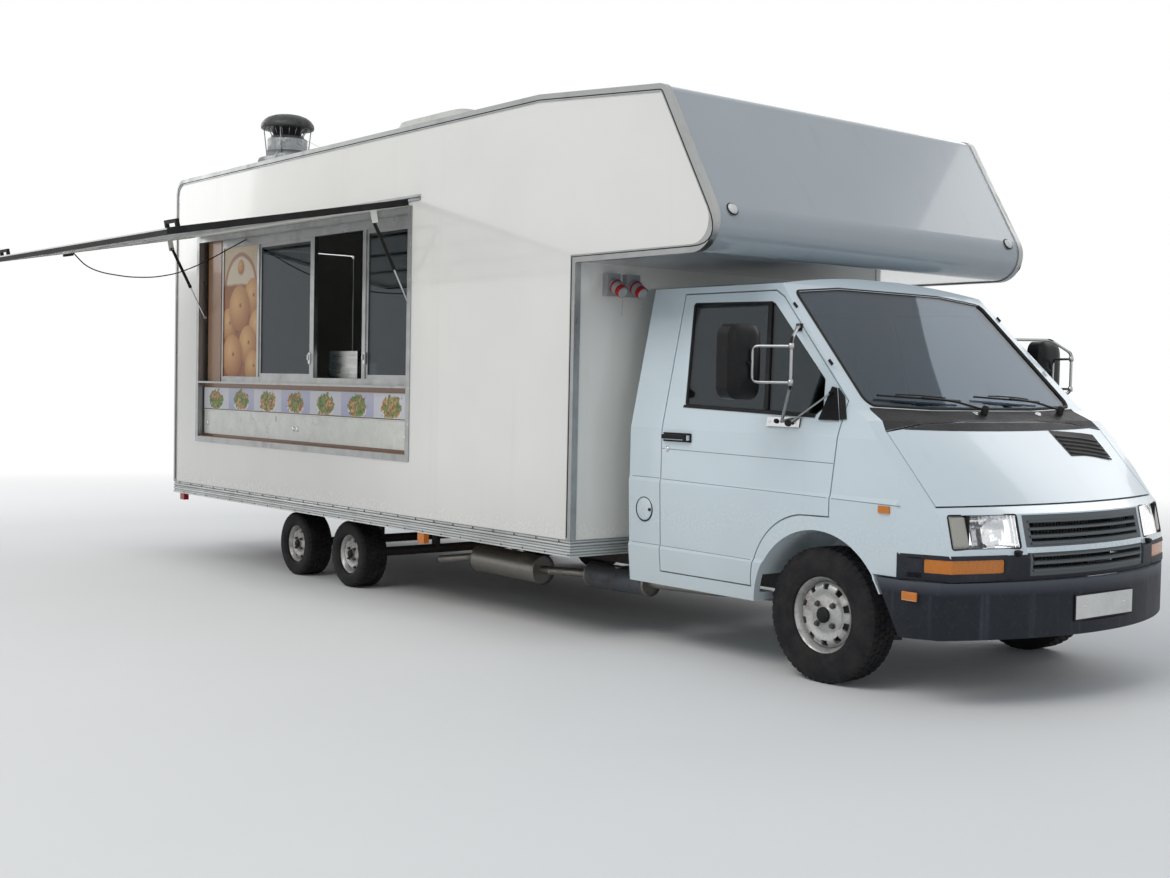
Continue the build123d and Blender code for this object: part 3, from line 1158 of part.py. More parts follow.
HUB_Z = FRONT_WHEEL["tyre"]
BEAM_X = (-60.0, 60.0)
BEAM_Z = (240.0, RAIL_Z[0])
KINGPIN = 24.0
ARM_EYE = 60.0
ARM_RISE = 120.0                    # of the upper arm over the hub, and the lower one under it
ARM_THICK = 24.0
ARM_ROOT = (150.0, 465.0)           # half length along the rail, distance from the mid-plane
KNUCKLE = (64.0, 48.0)
STEERING_ARM = 130.0
HUB_LENGTH = 22.0                   # of each hub past its wheel's dish
with BuildPart() as front_axle:
    slab(BEAM_X, (-RAIL_Y - RAIL_W / 2 - 10, RAIL_Y + RAIL_W / 2 + 10), BEAM_Z)
    for side in (-1, 1):
        for z in (HUB_Z - ARM_RISE, HUB_Z + ARM_RISE):
            with BuildSketch(Plane.XY.offset(z - ARM_THICK / 2)):
                with BuildLine():
                    Polyline((-ARM_ROOT[0], side * ARM_ROOT[1]), (ARM_ROOT[0], side * ARM_ROOT[1]),
                             (ARM_EYE / 2, side * STEER_Y), (-ARM_EYE / 2, side * STEER_Y), close=True)
                make_face()
                with Locations((0, side * STEER_Y)):
                    Circle(ARM_EYE / 2)
                    Circle(KINGPIN / 2 + PIN_PLAY, mode=Mode.SUBTRACT)
            extrude(amount=ARM_THICK)
        # plate on the rail that carries the arms
        reach = ARM_RISE + ARM_THICK / 2
        slab((-ARM_ROOT[0], ARM_ROOT[0]), (side * (RAIL_Y + RAIL_W / 2), side * (ARM_ROOT[1] + 13)),
             (HUB_Z - reach, HUB_Z + reach))
keep(front_axle.part, "front_axle")

for side, name in ((-1, "right"), (1, "left")):
    with BuildPart() as knuckle:
        clear = ARM_RISE - ARM_THICK / 2 - 2
        reach = ARM_RISE + ARM_THICK / 2
        slab((-KNUCKLE[0] / 2, KNUCKLE[0] / 2),
             (side * (STEER_Y - KNUCKLE[1] / 2), side * (STEER_Y + KNUCKLE[1] / 2)),
             (HUB_Z - clear, HUB_Z + clear))
        rod((0, side * STEER_Y, HUB_Z - reach), (0, side * STEER_Y, HUB_Z + reach), KINGPIN)
        hub_end = FRONT_WHEEL["y"] + FRONT_WHEEL["dish"] + HUB_LENGTH
        rod((0, side * STEER_Y, HUB_Z), (0, side * hub_end, HUB_Z), 2 * (HUB_BORE - PIN_PLAY))
        # steering arm
        slab((-STEERING_ARM, 0), (side * (STEER_Y - 44), side * (STEER_Y - 20)), (HUB_Z - 60, HUB_Z - 30))
    keep(knuckle.part, f"knuckle_{name}")


def wheel(x, side, spec):
    """Tyre and steel rim on one wheel axis; radii against distance outward from the wheel's middle."""
    radius, half, seat, dish = spec["tyre"], spec["width"] / 2, spec["seat"], spec["dish"]
    centre = (x, side * spec["y"], radius)
    plane = Plane(origin=centre, x_dir=(1, 0, 0), z_dir=(0, 0, 1))
    axis = Axis(centre, (0, 1, 0))
    bead = half - 24                # half width between the rim's flanges
    tyre_half = ((seat + SEAT, bead), (seat + FLANGE_RISE + 8, half - 8), ((seat + radius) / 2, half),
                 (radius - 18, half - 8), (radius, half - 26))
    flange = ((seat - RIM_SHEET, 1), (seat, 1), (seat, bead - SEAT), (seat + FLANGE_RISE, half - 8),
              (seat + FLANGE_RISE, half - 2), (seat - RIM_SHEET, bead + 8))
    # the dished disc outside, from the hub to the rim, and how thick it is there
    disc = ((HUB_BORE, 0, RIM_SHEET), (0.5 * seat, 0, RIM_SHEET), (0.62 * seat, 16, 7), (0.86 * seat, 8, 7),
            (seat - RIM_SHEET / 2, -14, 8))
    with BuildPart() as tyre:
        with BuildSketch(plane):
            with BuildLine():
                Polyline(*tyre_half, *[(r, -y) for r, y in reversed(tyre_half)], close=True)
            make_face()
        revolve(axis=axis)
    with BuildPart() as rim:
        with BuildSketch(plane):
            for end in (-1, 1):
                with BuildLine():
                    Polyline(*[(r, end * y) for r, y in flange], close=True)
                make_face()
            with BuildLine():
                Polyline((seat - RIM_SHEET, -1), (seat, -1), (seat, 1), (seat - RIM_SHEET, 1), close=True)
            make_face()
            with BuildLine():
                Polyline(*[(r, side * (dish + rise)) for r, rise, _ in disc],
                         *[(r, side * (dish + rise - thick)) for r, rise, thick in reversed(disc)], close=True)
            make_face()
        revolve(axis=axis)
        if spec["slots"]:
            with BuildSketch(Plane(origin=centre, x_dir=(1, 0, 0), z_dir=(0, side, 0))):
                with PolarLocations(0.86 * seat, spec["slots"]):
                    Rectangle(*RIM_SLOT)
            extrude(amount=200, mode=Mode.SUBTRACT)
        # cap over the hub
        face = spec["y"] + dish
        rod((x, side * face, radius), (x, side * (face + HUB_LENGTH + 8), radius), 2 * HUB_BORE + 8)
        rod((x, side * (face - 10), radius), (x, side * (face + HUB_LENGTH + 2), radius), 2 * HUB_BORE,
            mode=Mode.SUBTRACT)
    return tyre.part, rim.part


for side, name in ((-1, "right"), (1, "left")):
    tyre, rim = wheel(0.0, side, FRONT_WHEEL)
    keep(tyre, f"tyre_front_{name}")
    keep(rim, f"rim_front_{name}")
    for number, x in enumerate(REAR_AXLES, 1):
        tyre, rim = wheel(x, side, REAR_WHEEL)
        keep(Compound(children=[tyre, rim]), f"wheel_rear_{number}_{name}")

AXLE_HANGER = (60.0, 30.0)
with BuildPart() as rear_axles:
    for x in REAR_AXLES:
        hub = REAR_WHEEL["y"] + REAR_WHEEL["dish"] + HUB_LENGTH
        rod((x, -hub, REAR_WHEEL["tyre"]), (x, hub, REAR_WHEEL["tyre"]), 2 * (HUB_BORE - PIN_PLAY))
        for middle in (-RAIL_Y, RAIL_Y):
            slab((x - AXLE_HANGER[0] / 2, x + AXLE_HANGER[0] / 2),
                 (middle - AXLE_HANGER[1] / 2, middle + AXLE_HANGER[1] / 2), (REAR_WHEEL["tyre"], RAIL_Z[0]))
keep(rear_axles.part, "rear_axles")

# Exhaust on the right

# silencers: rear end, front end, diameter
SILENCERS = (
    ((-2900.0, -750.0, 275.0), (-2280.0, -750.0, 268.0), 170.0),
    ((-1850.0, -720.0, 290.0), (-1380.0, -700.0, 290.0), 140.0),
)
PIPE = 48.0
# pipes between them: the points of each and the radius of its bend
PIPES = (
    (((-3250.0, -830.0, 235.0), (-2980.0, -750.0, 275.0), (-2895.0, -750.0, 275.0)), 40.0),
    (((-2285.0, -750.0, 268.0), (-2000.0, -735.0, 285.0), (-1845.0, -720.0, 290.0)), 60.0),
    (((-1385.0, -700.0, 290.0), (-1000.0, -620.0, 290.0), (-300.0, -300.0, 290.0)), 120.0),
)
HANGER_X = (-2590.0, -1600.0)
HANGER_Z = (352.0, 362.0)
with BuildPart() as exhaust:
    for rear, front, diameter in SILENCERS:
        rod(rear, front, diameter)
    for points, radius in PIPES:
        bent_tube(points, radius, PIPE)
    # hangers to the rail
    for x in HANGER_X:
        slab((x - 12, x + 12), (-760, -RAIL_Y - RAIL_W / 2 - SEAT), HANGER_Z)
keep(exhaust.part, "exhaust")

# Tail lamps at the foot of the rear corners

TAIL_LAMP_IN = (47.0, 267.0)        # outer and inner end from the skirt's side
TAIL_LAMP_RISE = (6.0, 84.0)
TAIL_LAMP_DEEP = 40.0
CORNER_LAMP_IN = (67.0, 107.0)
CORNER_LAMP_X = (-30.0, 40.0)       # from the skirt's rear
with BuildPart() as tail_lamps:
    for side in (-1, 1):
        slab((SKIRT_X[0] - TAIL_LAMP_DEEP, SKIRT_X[0]),
             (side * (SKIRT_HALF - TAIL_LAMP_IN[1]), side * (SKIRT_HALF - TAIL_LAMP_IN[0])),
             (SKIRT_BOTTOM + TAIL_LAMP_RISE[0], SKIRT_BOTTOM + TAIL_LAMP_RISE[1]))
        slab((SKIRT_X[0] + CORNER_LAMP_X[0], SKIRT_X[0] + CORNER_LAMP_X[1]),
             (side * (SKIRT_HALF - CORNER_LAMP_IN[1]), side * (SKIRT_HALF - CORNER_LAMP_IN[0])),
             (SKIRT_BOTTOM - MARKER_DROP, SKIRT_BOTTOM))
keep(tail_lamps.part, "tail_lamps")

# Everything moves so that the origin is under the middle of the bounding box

bounds = pieces[0].bounding_box()
for piece in pieces[1:]:
    bounds = bounds.add(piece.bounding_box())
shift = Location((-bounds.center().X, -bounds.center().Y, -bounds.min.Z))
os.makedirs("parts", exist_ok=True)
for piece in pieces:
    placed = piece.moved(shift)
    placed.label = piece.label
    export_step(placed, f"parts/{piece.label}.step")
print("moved by", shift.position, "size", bounds.size)
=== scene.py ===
"""Dresses the food truck's CAD frame: camera, light, materials and the small parts the source leaves out."""
import math

import bmesh
import bpy
from mathutils import Matrix, Vector
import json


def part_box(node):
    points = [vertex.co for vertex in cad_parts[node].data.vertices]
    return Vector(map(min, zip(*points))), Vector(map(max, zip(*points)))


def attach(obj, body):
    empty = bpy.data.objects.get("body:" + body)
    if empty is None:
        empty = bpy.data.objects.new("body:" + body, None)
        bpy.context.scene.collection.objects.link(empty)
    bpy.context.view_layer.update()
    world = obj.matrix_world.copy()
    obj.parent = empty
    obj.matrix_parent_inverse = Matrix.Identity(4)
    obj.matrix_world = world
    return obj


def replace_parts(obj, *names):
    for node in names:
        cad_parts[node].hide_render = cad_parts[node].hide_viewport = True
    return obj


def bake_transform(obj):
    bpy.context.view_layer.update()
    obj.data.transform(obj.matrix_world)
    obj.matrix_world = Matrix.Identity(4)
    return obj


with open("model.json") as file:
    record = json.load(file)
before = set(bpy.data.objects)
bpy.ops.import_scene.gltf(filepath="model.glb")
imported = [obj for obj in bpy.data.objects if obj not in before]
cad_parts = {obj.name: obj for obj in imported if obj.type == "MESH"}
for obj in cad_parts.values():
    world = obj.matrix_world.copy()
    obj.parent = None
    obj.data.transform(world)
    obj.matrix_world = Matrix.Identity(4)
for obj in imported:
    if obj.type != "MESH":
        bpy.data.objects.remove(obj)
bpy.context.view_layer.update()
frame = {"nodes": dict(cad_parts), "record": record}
nodes = frame["nodes"]

# The truck's own frame: x from the front axle, y from the mid-plane, z from the ground, in metres
tyre_left, tyre_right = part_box("tyre_front_left"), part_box("tyre_front_right")
AXLE_X = (tyre_left[0][0] + tyre_left[1][0]) / 2
MIDDLE_Y = (tyre_left[1][1] + tyre_right[0][1]) / 2


def at(x, y, z):
    """A point of the truck's own frame in the row frame."""
    return Vector((x + AXLE_X, y + MIDDLE_Y, z))


def link(obj):
    bpy.context.scene.collection.objects.link(obj)
    return obj


# Camera, solved from the photograph
CAMERA_AT = (4.556, -6.040, 1.371)
CAMERA_RIGHT = (0.63249, 0.77432, 0.01972)
CAMERA_UP = (-0.04149, 0.00844, 0.99910)
CAMERA_BACK = (0.77346, -0.63274, 0.03747)
LENS = 45.16
SENSOR = 36.0

camera_data = bpy.data.cameras.new("camera")
camera_data.lens = LENS
camera_data.sensor_width = SENSOR
camera_data.clip_end = 200.0
camera = link(bpy.data.objects.new("camera", camera_data))
columns = Matrix((CAMERA_RIGHT, CAMERA_UP, CAMERA_BACK)).transposed()
camera.matrix_world = Matrix.Translation(at(*CAMERA_AT)) @ columns.to_4x4()
bpy.context.scene.camera = camera

# The lamp's cable: the route of part.py, in metres
CABLE_DIA = 0.008
CABLE_ROUTE = (
    (-4.806, -2.632, 2.145), (-4.822, -2.590, 2.108), (-4.846, -2.540, 2.074), (-4.882, -2.476, 2.052),
    (-4.923, -2.390, 2.036), (-4.970, -2.284, 2.030), (-5.014, -2.180, 2.026), (-5.062, -2.077, 2.032),
    (-5.106, -1.972, 2.041), (-5.150, -1.870, 2.060), (-5.194, -1.767, 2.084), (-5.232, -1.666, 2.121),
    (-5.265, -1.566, 2.162), (-5.296, -1.467, 2.210), (-5.318, -1.369, 2.264), (-5.339, -1.271, 2.317),
    (-5.350, -1.172, 2.372),
)


def curve(name, kind, places, radius=0.0, sides=4):
    """A line of one spline through places, or with them as its control points, thick where asked."""
    data = bpy.data.curves.new(name, "CURVE")
    data.dimensions = "3D"
    data.bevel_depth = radius
    data.bevel_resolution = sides
    spline = data.splines.new(kind)
    spline.points.add(len(places) - 1)
    for point, place in zip(spline.points, places):
        point.co = (*place, 1.0)
    return link(bpy.data.objects.new(name, data)), spline


def smooth_curve(name, places, radius=0.0):
    """A NURBS line that starts and ends on its control points."""
    obj, spline = curve(name, "NURBS", places, radius)
    spline.order_u = 3
    spline.use_endpoint_u = True
    spline.resolution_u = 8
    return obj


def smoothed(mesh):
    for face in mesh.polygons:
        face.use_smooth = True


def mesh_of(obj, name):
    """The evaluated mesh of an object as a new object; the first one goes."""
    bpy.context.view_layer.update()
    made = bpy.data.meshes.new_from_object(obj.evaluated_get(bpy.context.evaluated_depsgraph_get()))
    bpy.data.objects.remove(obj)
    return link(bpy.data.objects.new(name, made))


cable_places = [at(*point) for point in CABLE_ROUTE]
cable_line = mesh_of(smooth_curve("cable_line", cable_places), "cable_path")
bpy.data.objects.remove(cable_line)
cable = mesh_of(smooth_curve("cable_tube", cable_places, CABLE_DIA / 2), "hatch_lamp_cable")
smoothed(cable.data)
# the bend is kept short and close to the hinge, so the shut hatch hides the cable
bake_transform(cable)
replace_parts(cable, "lamp_cable")


# Materials


class Shade:
    """A procedural material under construction."""

    def __init__(self, name):
        self.material = bpy.data.materials.new(name)
        self.material.use_nodes = True
        self.tree = self.material.node_tree
        self.surface = self.tree.nodes["Principled BSDF"]
        self.coords = self.node("ShaderNodeTexCoord").outputs["Object"]

    def node(self, kind, inputs=None, **settings):
        made = self.tree.nodes.new(kind)
        for key, value in settings.items():
            setattr(made, key, value)
        for key, value in (inputs or {}).items():
            self.put(made.inputs[key], value)
        return made

    def put(self, socket, value):
        if isinstance(value, bpy.types.NodeSocket):
            self.tree.links.new(value, socket)
        elif isinstance(value, bpy.types.Node):
            self.tree.links.new(value.outputs[0], socket)
        elif socket.type == "RGBA" and len(value) == 3:
            socket.default_value = (*value, 1.0)
        else:
            socket.default_value = value

    def set(self, **values):
        for key, value in values.items():
            self.put(self.surface.inputs[key.replace("_", " ")], value)

    def scaled(self, x, y, z):
        return self.node("ShaderNodeMapping", {"Vector": self.coords, "Scale": (x, y, z)}).outputs[0]

    def noise(self, scale, detail=4.0, vector=None, rough=0.5):
        return self.node("ShaderNodeTexNoise", {"Vector": vector or self.coords, "Scale": scale, "Detail": detail,
                                                "Roughness": rough}).outputs["Fac"]

    def ramp(self, value, low, high, out_low=0.0, out_high=1.0):
        return self.node("ShaderNodeMapRange", {"Value": value, "From Min": low, "From Max": high,
                                                "To Min": out_low, "To Max": out_high}).outputs[0]

    def maths(self, operation, a, b=0.0):
        made = self.node("ShaderNodeMath", operation=operation)
        self.put(made.inputs[0], a)
        self.put(made.inputs[1], b)
        return made.outputs[0]

    def times(self, a, b):
        return self.maths("MULTIPLY", a, b)

    def plus(self, a, b):
        return self.maths("ADD", a, b)

    def minus(self, a, b):
        return self.maths("SUBTRACT", a, b)

    def wave(self, index, rate):
        """A sine along one axis, at a rate in radians for each metre."""
        return self.maths("SINE", self.times(self.axis(index), rate))

    def mix(self, share, a, b):
        made = self.node("ShaderNodeMix", data_type="RGBA")
        self.put(made.inputs[0], share)
        self.put(made.inputs[6], a)
        self.put(made.inputs[7], b)
        return made.outputs[2]

    def axis(self, index):
        return self.node("ShaderNodeSeparateXYZ", {"Vector": self.coords}).outputs[index]

    def bump(self, height, strength, distance=0.001):
        made = self.node("ShaderNodeBump", {"Height": height, "Strength": strength, "Distance": distance})
        if self.surface.inputs["Normal"].links:
            self.put(made.inputs["Normal"], self.surface.inputs["Normal"].links[0].from_socket)
        self.put(self.surface.inputs["Normal"], made.outputs[0])


DUST = (0.30, 0.27, 0.23)
GRIME = (0.10, 0.09, 0.08)


def darker(colour, share):
    return tuple(c * share for c in colour)


def painted(name, colour, rough=0.28, coat=0.6, dust=0.22, grime=0.10, foot=0.3, waist=1.1):
    """Gloss paint with road film rising from the foot, faint rain streaks and a trace of orange peel."""
    s = Shade(name)
    cloud = s.noise(1.3, 6.0)
    fine = s.noise(60.0, 3.0)
    streaks = s.noise(7.0, 5.0, s.scaled(1.0, 1.0, 0.05))
    rise = s.maths("POWER", s.ramp(s.axis(2), waist, foot), 1.7)
    dusty = s.times(rise, s.ramp(cloud, 0.25, 0.75, 0.45, 1.0))
    run = s.ramp(streaks, 0.60, 0.80)
    base = s.mix(s.ramp(cloud, 0.3, 0.7), colour, darker(colour, 0.94))
    base = s.mix(s.times(dusty, dust), base, DUST)
    base = s.mix(s.times(run, grime), base, GRIME)
    s.set(Base_Color=base, Coat_Weight=coat, Coat_Roughness=0.05,
          Roughness=s.plus(s.ramp(fine, 0.3, 0.7, rough - 0.03, rough + 0.03), s.times(dusty, 0.25)))
    s.bump(s.noise(240.0, 2.0), 0.04, 0.0003)
    s.bump(s.noise(2.2, 2.0), 0.15, 0.0012)
    return s.material


def metal(name, colour, rough=0.35, stain=0.25, brush=(1, 1, 1)):
    """Bare metal with brushing along an axis and dull stains."""
    s = Shade(name)
    lines = s.noise(60.0, 4.0, s.scaled(*brush))
    cloud = s.ramp(s.noise(6.0, 6.0), 0.5, 0.75)
    base = s.mix(s.times(cloud, stain), s.mix(lines, colour, darker(colour, 0.82)), GRIME)
    s.set(Base_Color=base, Metallic=1.0,
          Roughness=s.plus(s.ramp(lines, 0.3, 0.7, rough - 0.08, rough + 0.08), s.times(cloud, 0.15)))
    s.bump(lines, 0.12, 0.0004)
    return s.material


def plastic(name, colour, rough=0.5, grain=700.0, fade=0.3, faded=(0.25, 0.25, 0.25), depth=0.35, dust=0.15,
            shelf=None):
    """Moulded plastic with a leather grain, sun-faded patches and dust."""
    s = Shade(name)
    cells = s.node("ShaderNodeTexVoronoi", {"Vector": s.coords, "Scale": grain}).outputs["Distance"]
    cloud = s.ramp(s.noise(4.0, 7.0, rough=0.65), 0.45, 0.75)
    specks = s.ramp(s.noise(55.0, 5.0), 0.55, 0.75)
    base = s.mix(s.times(cloud, fade), colour, faded)
    base = s.mix(s.times(specks, dust), base, DUST)
    if shelf:
        # painted light: the upper edge made lighter, as its top catches the light, with pale weathered runs below it
        low, high, lit_top_and_bleach = shelf
        runs = s.ramp(s.noise(26.0, 3.0, s.scaled(1.0, 1.0, 0.03)), 0.56, 0.74, 0.0, 0.3)
        share = s.maths("MAXIMUM", s.ramp(s.axis(2), low, high, 0.0, 0.85), runs)
        base = s.mix(share, base, lit_top_and_bleach)
    s.set(Base_Color=base, Roughness=s.ramp(cloud, 0.0, 1.0, rough, rough + 0.15), Specular_IOR_Level=0.15)
    s.bump(cells, depth, 0.0006)
    return s.material


def rubber(name, colour, dust, rough=0.72):
    s = Shade(name)
    cloud = s.ramp(s.noise(11.0, 7.0, rough=0.6), 0.42, 0.78)
    fine = s.noise(160.0, 4.0)
    base = s.mix(s.times(cloud, dust), colour, (0.15, 0.135, 0.12))
    s.set(Base_Color=base, Roughness=s.ramp(fine, 0.2, 0.8, rough - 0.08, rough + 0.1), Specular_IOR_Level=0.2)
    s.bump(fine, 0.3, 0.0005)
    return s.material


def pane(name, tint, smear=0.06):
    """Window glass, thin: mostly see-through with a mirror-like face and faint dirt in patches."""
    s = Shade(name)
    cloud = s.ramp(s.noise(5.0, 6.0), 0.45, 0.8, 0.0, smear)
    glossy = s.node("ShaderNodeBsdfGlossy", {"Color": (0.92, 0.95, 1.0), "Roughness": 0.02})
    clear = s.node("ShaderNodeBsdfTransparent", {"Color": tint})
    film = s.node("ShaderNodeBsdfDiffuse", {"Color": DUST})
    facing = s.node("ShaderNodeFresnel", {"IOR": 1.5}).outputs[0]
    share = s.times(s.plus(facing, 0.02), 0.55)
    first = s.node("ShaderNodeMixShader", {0: share, 1: clear, 2: glossy})
    second = s.node("ShaderNodeMixShader", {0: cloud, 1: first, 2: film})
    out = s.tree.nodes["Material Output"]
    s.tree.nodes.remove(s.surface)
    s.tree.links.new(second.outputs[0], out.inputs["Surface"])
    return s.material


def lens(name, colour, ribs=520.0, transmission=0.35, rough=0.15, depth=0.6):
    """Moulded lamp lens with upright flutes."""
    s = Shade(name)
    wave = s.wave(1, ribs)
    speck = s.ramp(s.noise(70.0, 4.0), 0.5, 0.8, 0.0, 0.25)
    s.set(Base_Color=s.mix(speck, colour, darker(colour, 0.6)), Roughness=rough,
          Transmission_Weight=transmission, IOR=1.35, Coat_Weight=0.5, Coat_Roughness=0.05)
    s.bump(wave, depth, 0.0015)
    return s.material


def wooden(name, light, dark, along=(1.0, 9.0, 9.0), rough=0.35, coat=0.35):
    s = Shade(name)
    grain = s.noise(22.0, 8.0, s.scaled(*along), 0.62)
    rings = s.node("ShaderNodeTexWave", {"Vector": s.scaled(*along), "Scale": 3.2, "Distortion": 5.0, "Detail": 4.0})
    tone = s.plus(s.times(grain, 0.6), s.times(rings.outputs["Fac"], 0.4))
    s.set(Base_Color=s.mix(s.ramp(tone, 0.3, 0.75), dark, light), Roughness=rough, Coat_Weight=coat)
    s.bump(grain, 0.2, 0.0006)
    return s.material


def marbled(name):
    """Pale laminate with soft grey-green clouds and thin veins, as the counter flap has."""
    s = Shade(name)
    cloud = s.ramp(s.noise(5.0, 9.0, rough=0.7), 0.35, 0.7)
    warp = s.noise(3.0, 5.0)
    vein = s.maths("ABSOLUTE", s.minus(s.noise(4.0, 8.0, rough=0.75), 0.5))
    thin = s.ramp(vein, 0.0, 0.035, 1.0, 0.0)
    base = s.mix(cloud, (0.80, 0.79, 0.74), (0.60, 0.62, 0.56))
    base = s.mix(s.times(thin, s.ramp(warp, 0.4, 0.7, 0.0, 0.6)), base, (0.42, 0.43, 0.40))
    s.set(Base_Color=base, Roughness=0.3, Coat_Weight=0.4)
    s.bump(s.noise(160.0), 0.08, 0.0004)
    return s.material


def woven(name, warp, weft):
    s = Shade(name)
    across = s.wave(0, 2600.0)
    along = s.wave(1, 2600.0)
    rise = s.times(across, along)
    cloud = s.noise(14.0, 4.0)
    base = s.mix(s.ramp(rise, -1.0, 1.0), warp, weft)
    s.set(Base_Color=s.mix(s.ramp(cloud, 0.4, 0.7, 0.0, 0.3), base, DUST), Roughness=0.9, Sheen_Weight=0.3)
    s.bump(rise, 0.3, 0.0006)
    return s.material


def rusty(name, colour, metallic=0.6, rust=0.5, rough=0.5, scale=12.0):
    """Paint or plate with rust coming through in patches."""
    s = Shade(name)
    spots = s.noise(scale, 9.0, rough=0.7)
    patch = s.ramp(spots, 0.52, 0.62)
    fine = s.noise(90.0, 5.0)
    brown = s.mix(fine, (0.10, 0.035, 0.014), (0.23, 0.10, 0.045))
    base = s.mix(s.times(patch, rust), s.mix(s.ramp(fine, 0.3, 0.7, 0.0, 0.3), colour, GRIME), brown)
    s.set(Base_Color=base, Metallic=s.ramp(patch, 0.0, 1.0, metallic, metallic * (1 - rust)),
          Roughness=s.ramp(patch, 0.0, 1.0, rough, 0.85))
    s.bump(s.plus(fine, s.times(patch, 0.6)), 0.3, 0.0008)
    return s.material


def glowing(name, colour, strength):
    s = Shade(name)
    s.set(Base_Color=colour, Emission_Color=colour, Emission_Strength=strength, Roughness=0.4)
    s.bump(s.noise(80.0), 0.05, 0.0003)
    return s.material


def ribbed(name):
    """Ribbed aluminium section: grooves along the skirt, darkened with painted shade."""
    s = Shade(name)
    wave = s.wave(2, math.tau / 0.0152)
    groove = s.ramp(wave, -0.35, -0.95)
    lines = s.noise(60.0, 4.0, s.scaled(0.05, 0.05, 1.0))
    cloud = s.ramp(s.noise(5.0, 6.0), 0.45, 0.75, 0.0, 0.35)
    base = s.mix(lines, (0.66, 0.68, 0.67), (0.56, 0.58, 0.57))
    # painted shade: the grooves are coloured darker
    base = s.mix(s.times(groove, 0.75), base, (0.10, 0.10, 0.10))
    s.set(Base_Color=s.mix(cloud, base, (0.22, 0.21, 0.19)), Metallic=0.55,
          Roughness=s.ramp(lines, 0.3, 0.7, 0.32, 0.48))
    s.bump(s.ramp(wave, -1.0, 0.2), 0.9, 0.003)
    return s.material


def radiator(name):
    s = Shade(name)
    fins = s.wave(1, 1200.0)
    s.set(Base_Color=s.mix(s.ramp(fins, -1.0, 1.0), (0.012, 0.012, 0.013), (0.06, 0.06, 0.06)),
          Metallic=0.5, Roughness=0.6)
    s.bump(fins, 0.5, 0.001)
    return s.material


def local(s, index, origin, size):
    """A coordinate along one axis as a share of a size from an origin in the row frame."""
    return s.maths("DIVIDE", s.minus(s.axis(index), origin), size)


def disc(s, u, v, u0, v0, radius, soft=0.01):
    """1 inside a circle and 0 outside it."""
    across = s.maths("POWER", s.minus(u, u0), 2.0)
    up = s.maths("POWER", s.minus(v, v0), 2.0)
    return s.ramp(s.maths("SQRT", s.plus(across, up)), radius, radius - soft)


FRUIT_LIGHT, FRUIT_DEEP, FRUIT_SHADE = (0.74, 0.44, 0.19), (0.36, 0.125, 0.035), (0.09, 0.028, 0.010)


def round_fruit(s, base, u, v, u0, v0, radius):
    """A round fruit on a print: light from the upper left, deeper toward its rim, with a soft shadow."""
    shadow = disc(s, u, v, u0 + radius * 0.10, v0 - radius * 0.12, radius * 1.12, radius * 0.3)
    base = s.mix(s.times(shadow, 0.45), base, FRUIT_SHADE)
    glow = disc(s, u, v, u0 - radius * 0.28, v0 + radius * 0.30, radius * 1.35, radius * 1.3)
    skin = s.mix(glow, FRUIT_DEEP, FRUIT_LIGHT)
    skin = s.mix(disc(s, u, v, u0 + radius * 0.1, v0 + radius * 0.12, radius * 0.14, radius * 0.12), skin, FRUIT_SHADE)
    return s.mix(disc(s, u, v, u0, v0, radius, 0.012), base, skin)


def fruit_poster(name):
    """A sun-faded poster of peaches on a table, with a plain arch above them and no words."""
    s = Shade(name)
    u = local(s, 0, at(-5.711, 0, 0).x, 0.543)
    v = local(s, 2, 1.378, 0.543)
    warp = s.times(s.minus(s.noise(7.0, 3.0), 0.5), 0.05)
    v = s.plus(v, warp)
    base = s.mix(s.ramp(s.noise(3.0, 5.0), 0.3, 0.7), (0.58, 0.47, 0.33), (0.68, 0.58, 0.44))
    base = s.mix(s.times(disc(s, u, v, 0.5, 1.18, 0.50, 0.02), 0.8), base, (0.34, 0.13, 0.06))
    base = s.mix(disc(s, u, v, 0.5, 1.18, 0.44, 0.02), base, (0.70, 0.60, 0.46))
    table = s.ramp(v, 1.26, 1.22)
    base = s.mix(table, base, s.mix(s.noise(9.0, 5.0), (0.26, 0.085, 0.03), (0.40, 0.15, 0.05)))
    fruits = ((0.86, 1.06, 0.26), (0.16, 0.70, 0.24), (0.46, 0.92, 0.31), (1.00, 0.66, 0.25), (0.72, 0.42, 0.27),
              (0.26, 0.27, 0.30), (0.88, 0.12, 0.24), (0.50, 1.47, 0.10))
    for u0, v0, radius in fruits:
        base = round_fruit(s, base, u, v, u0, v0, radius)
    speck = s.ramp(s.noise(90.0, 4.0), 0.5, 0.8, 0.0, 0.2)
    s.set(Base_Color=s.mix(speck, base, (0.60, 0.46, 0.30)), Roughness=0.5)
    s.bump(s.noise(9.0, 3.0), 0.1, 0.0008)
    return s.material


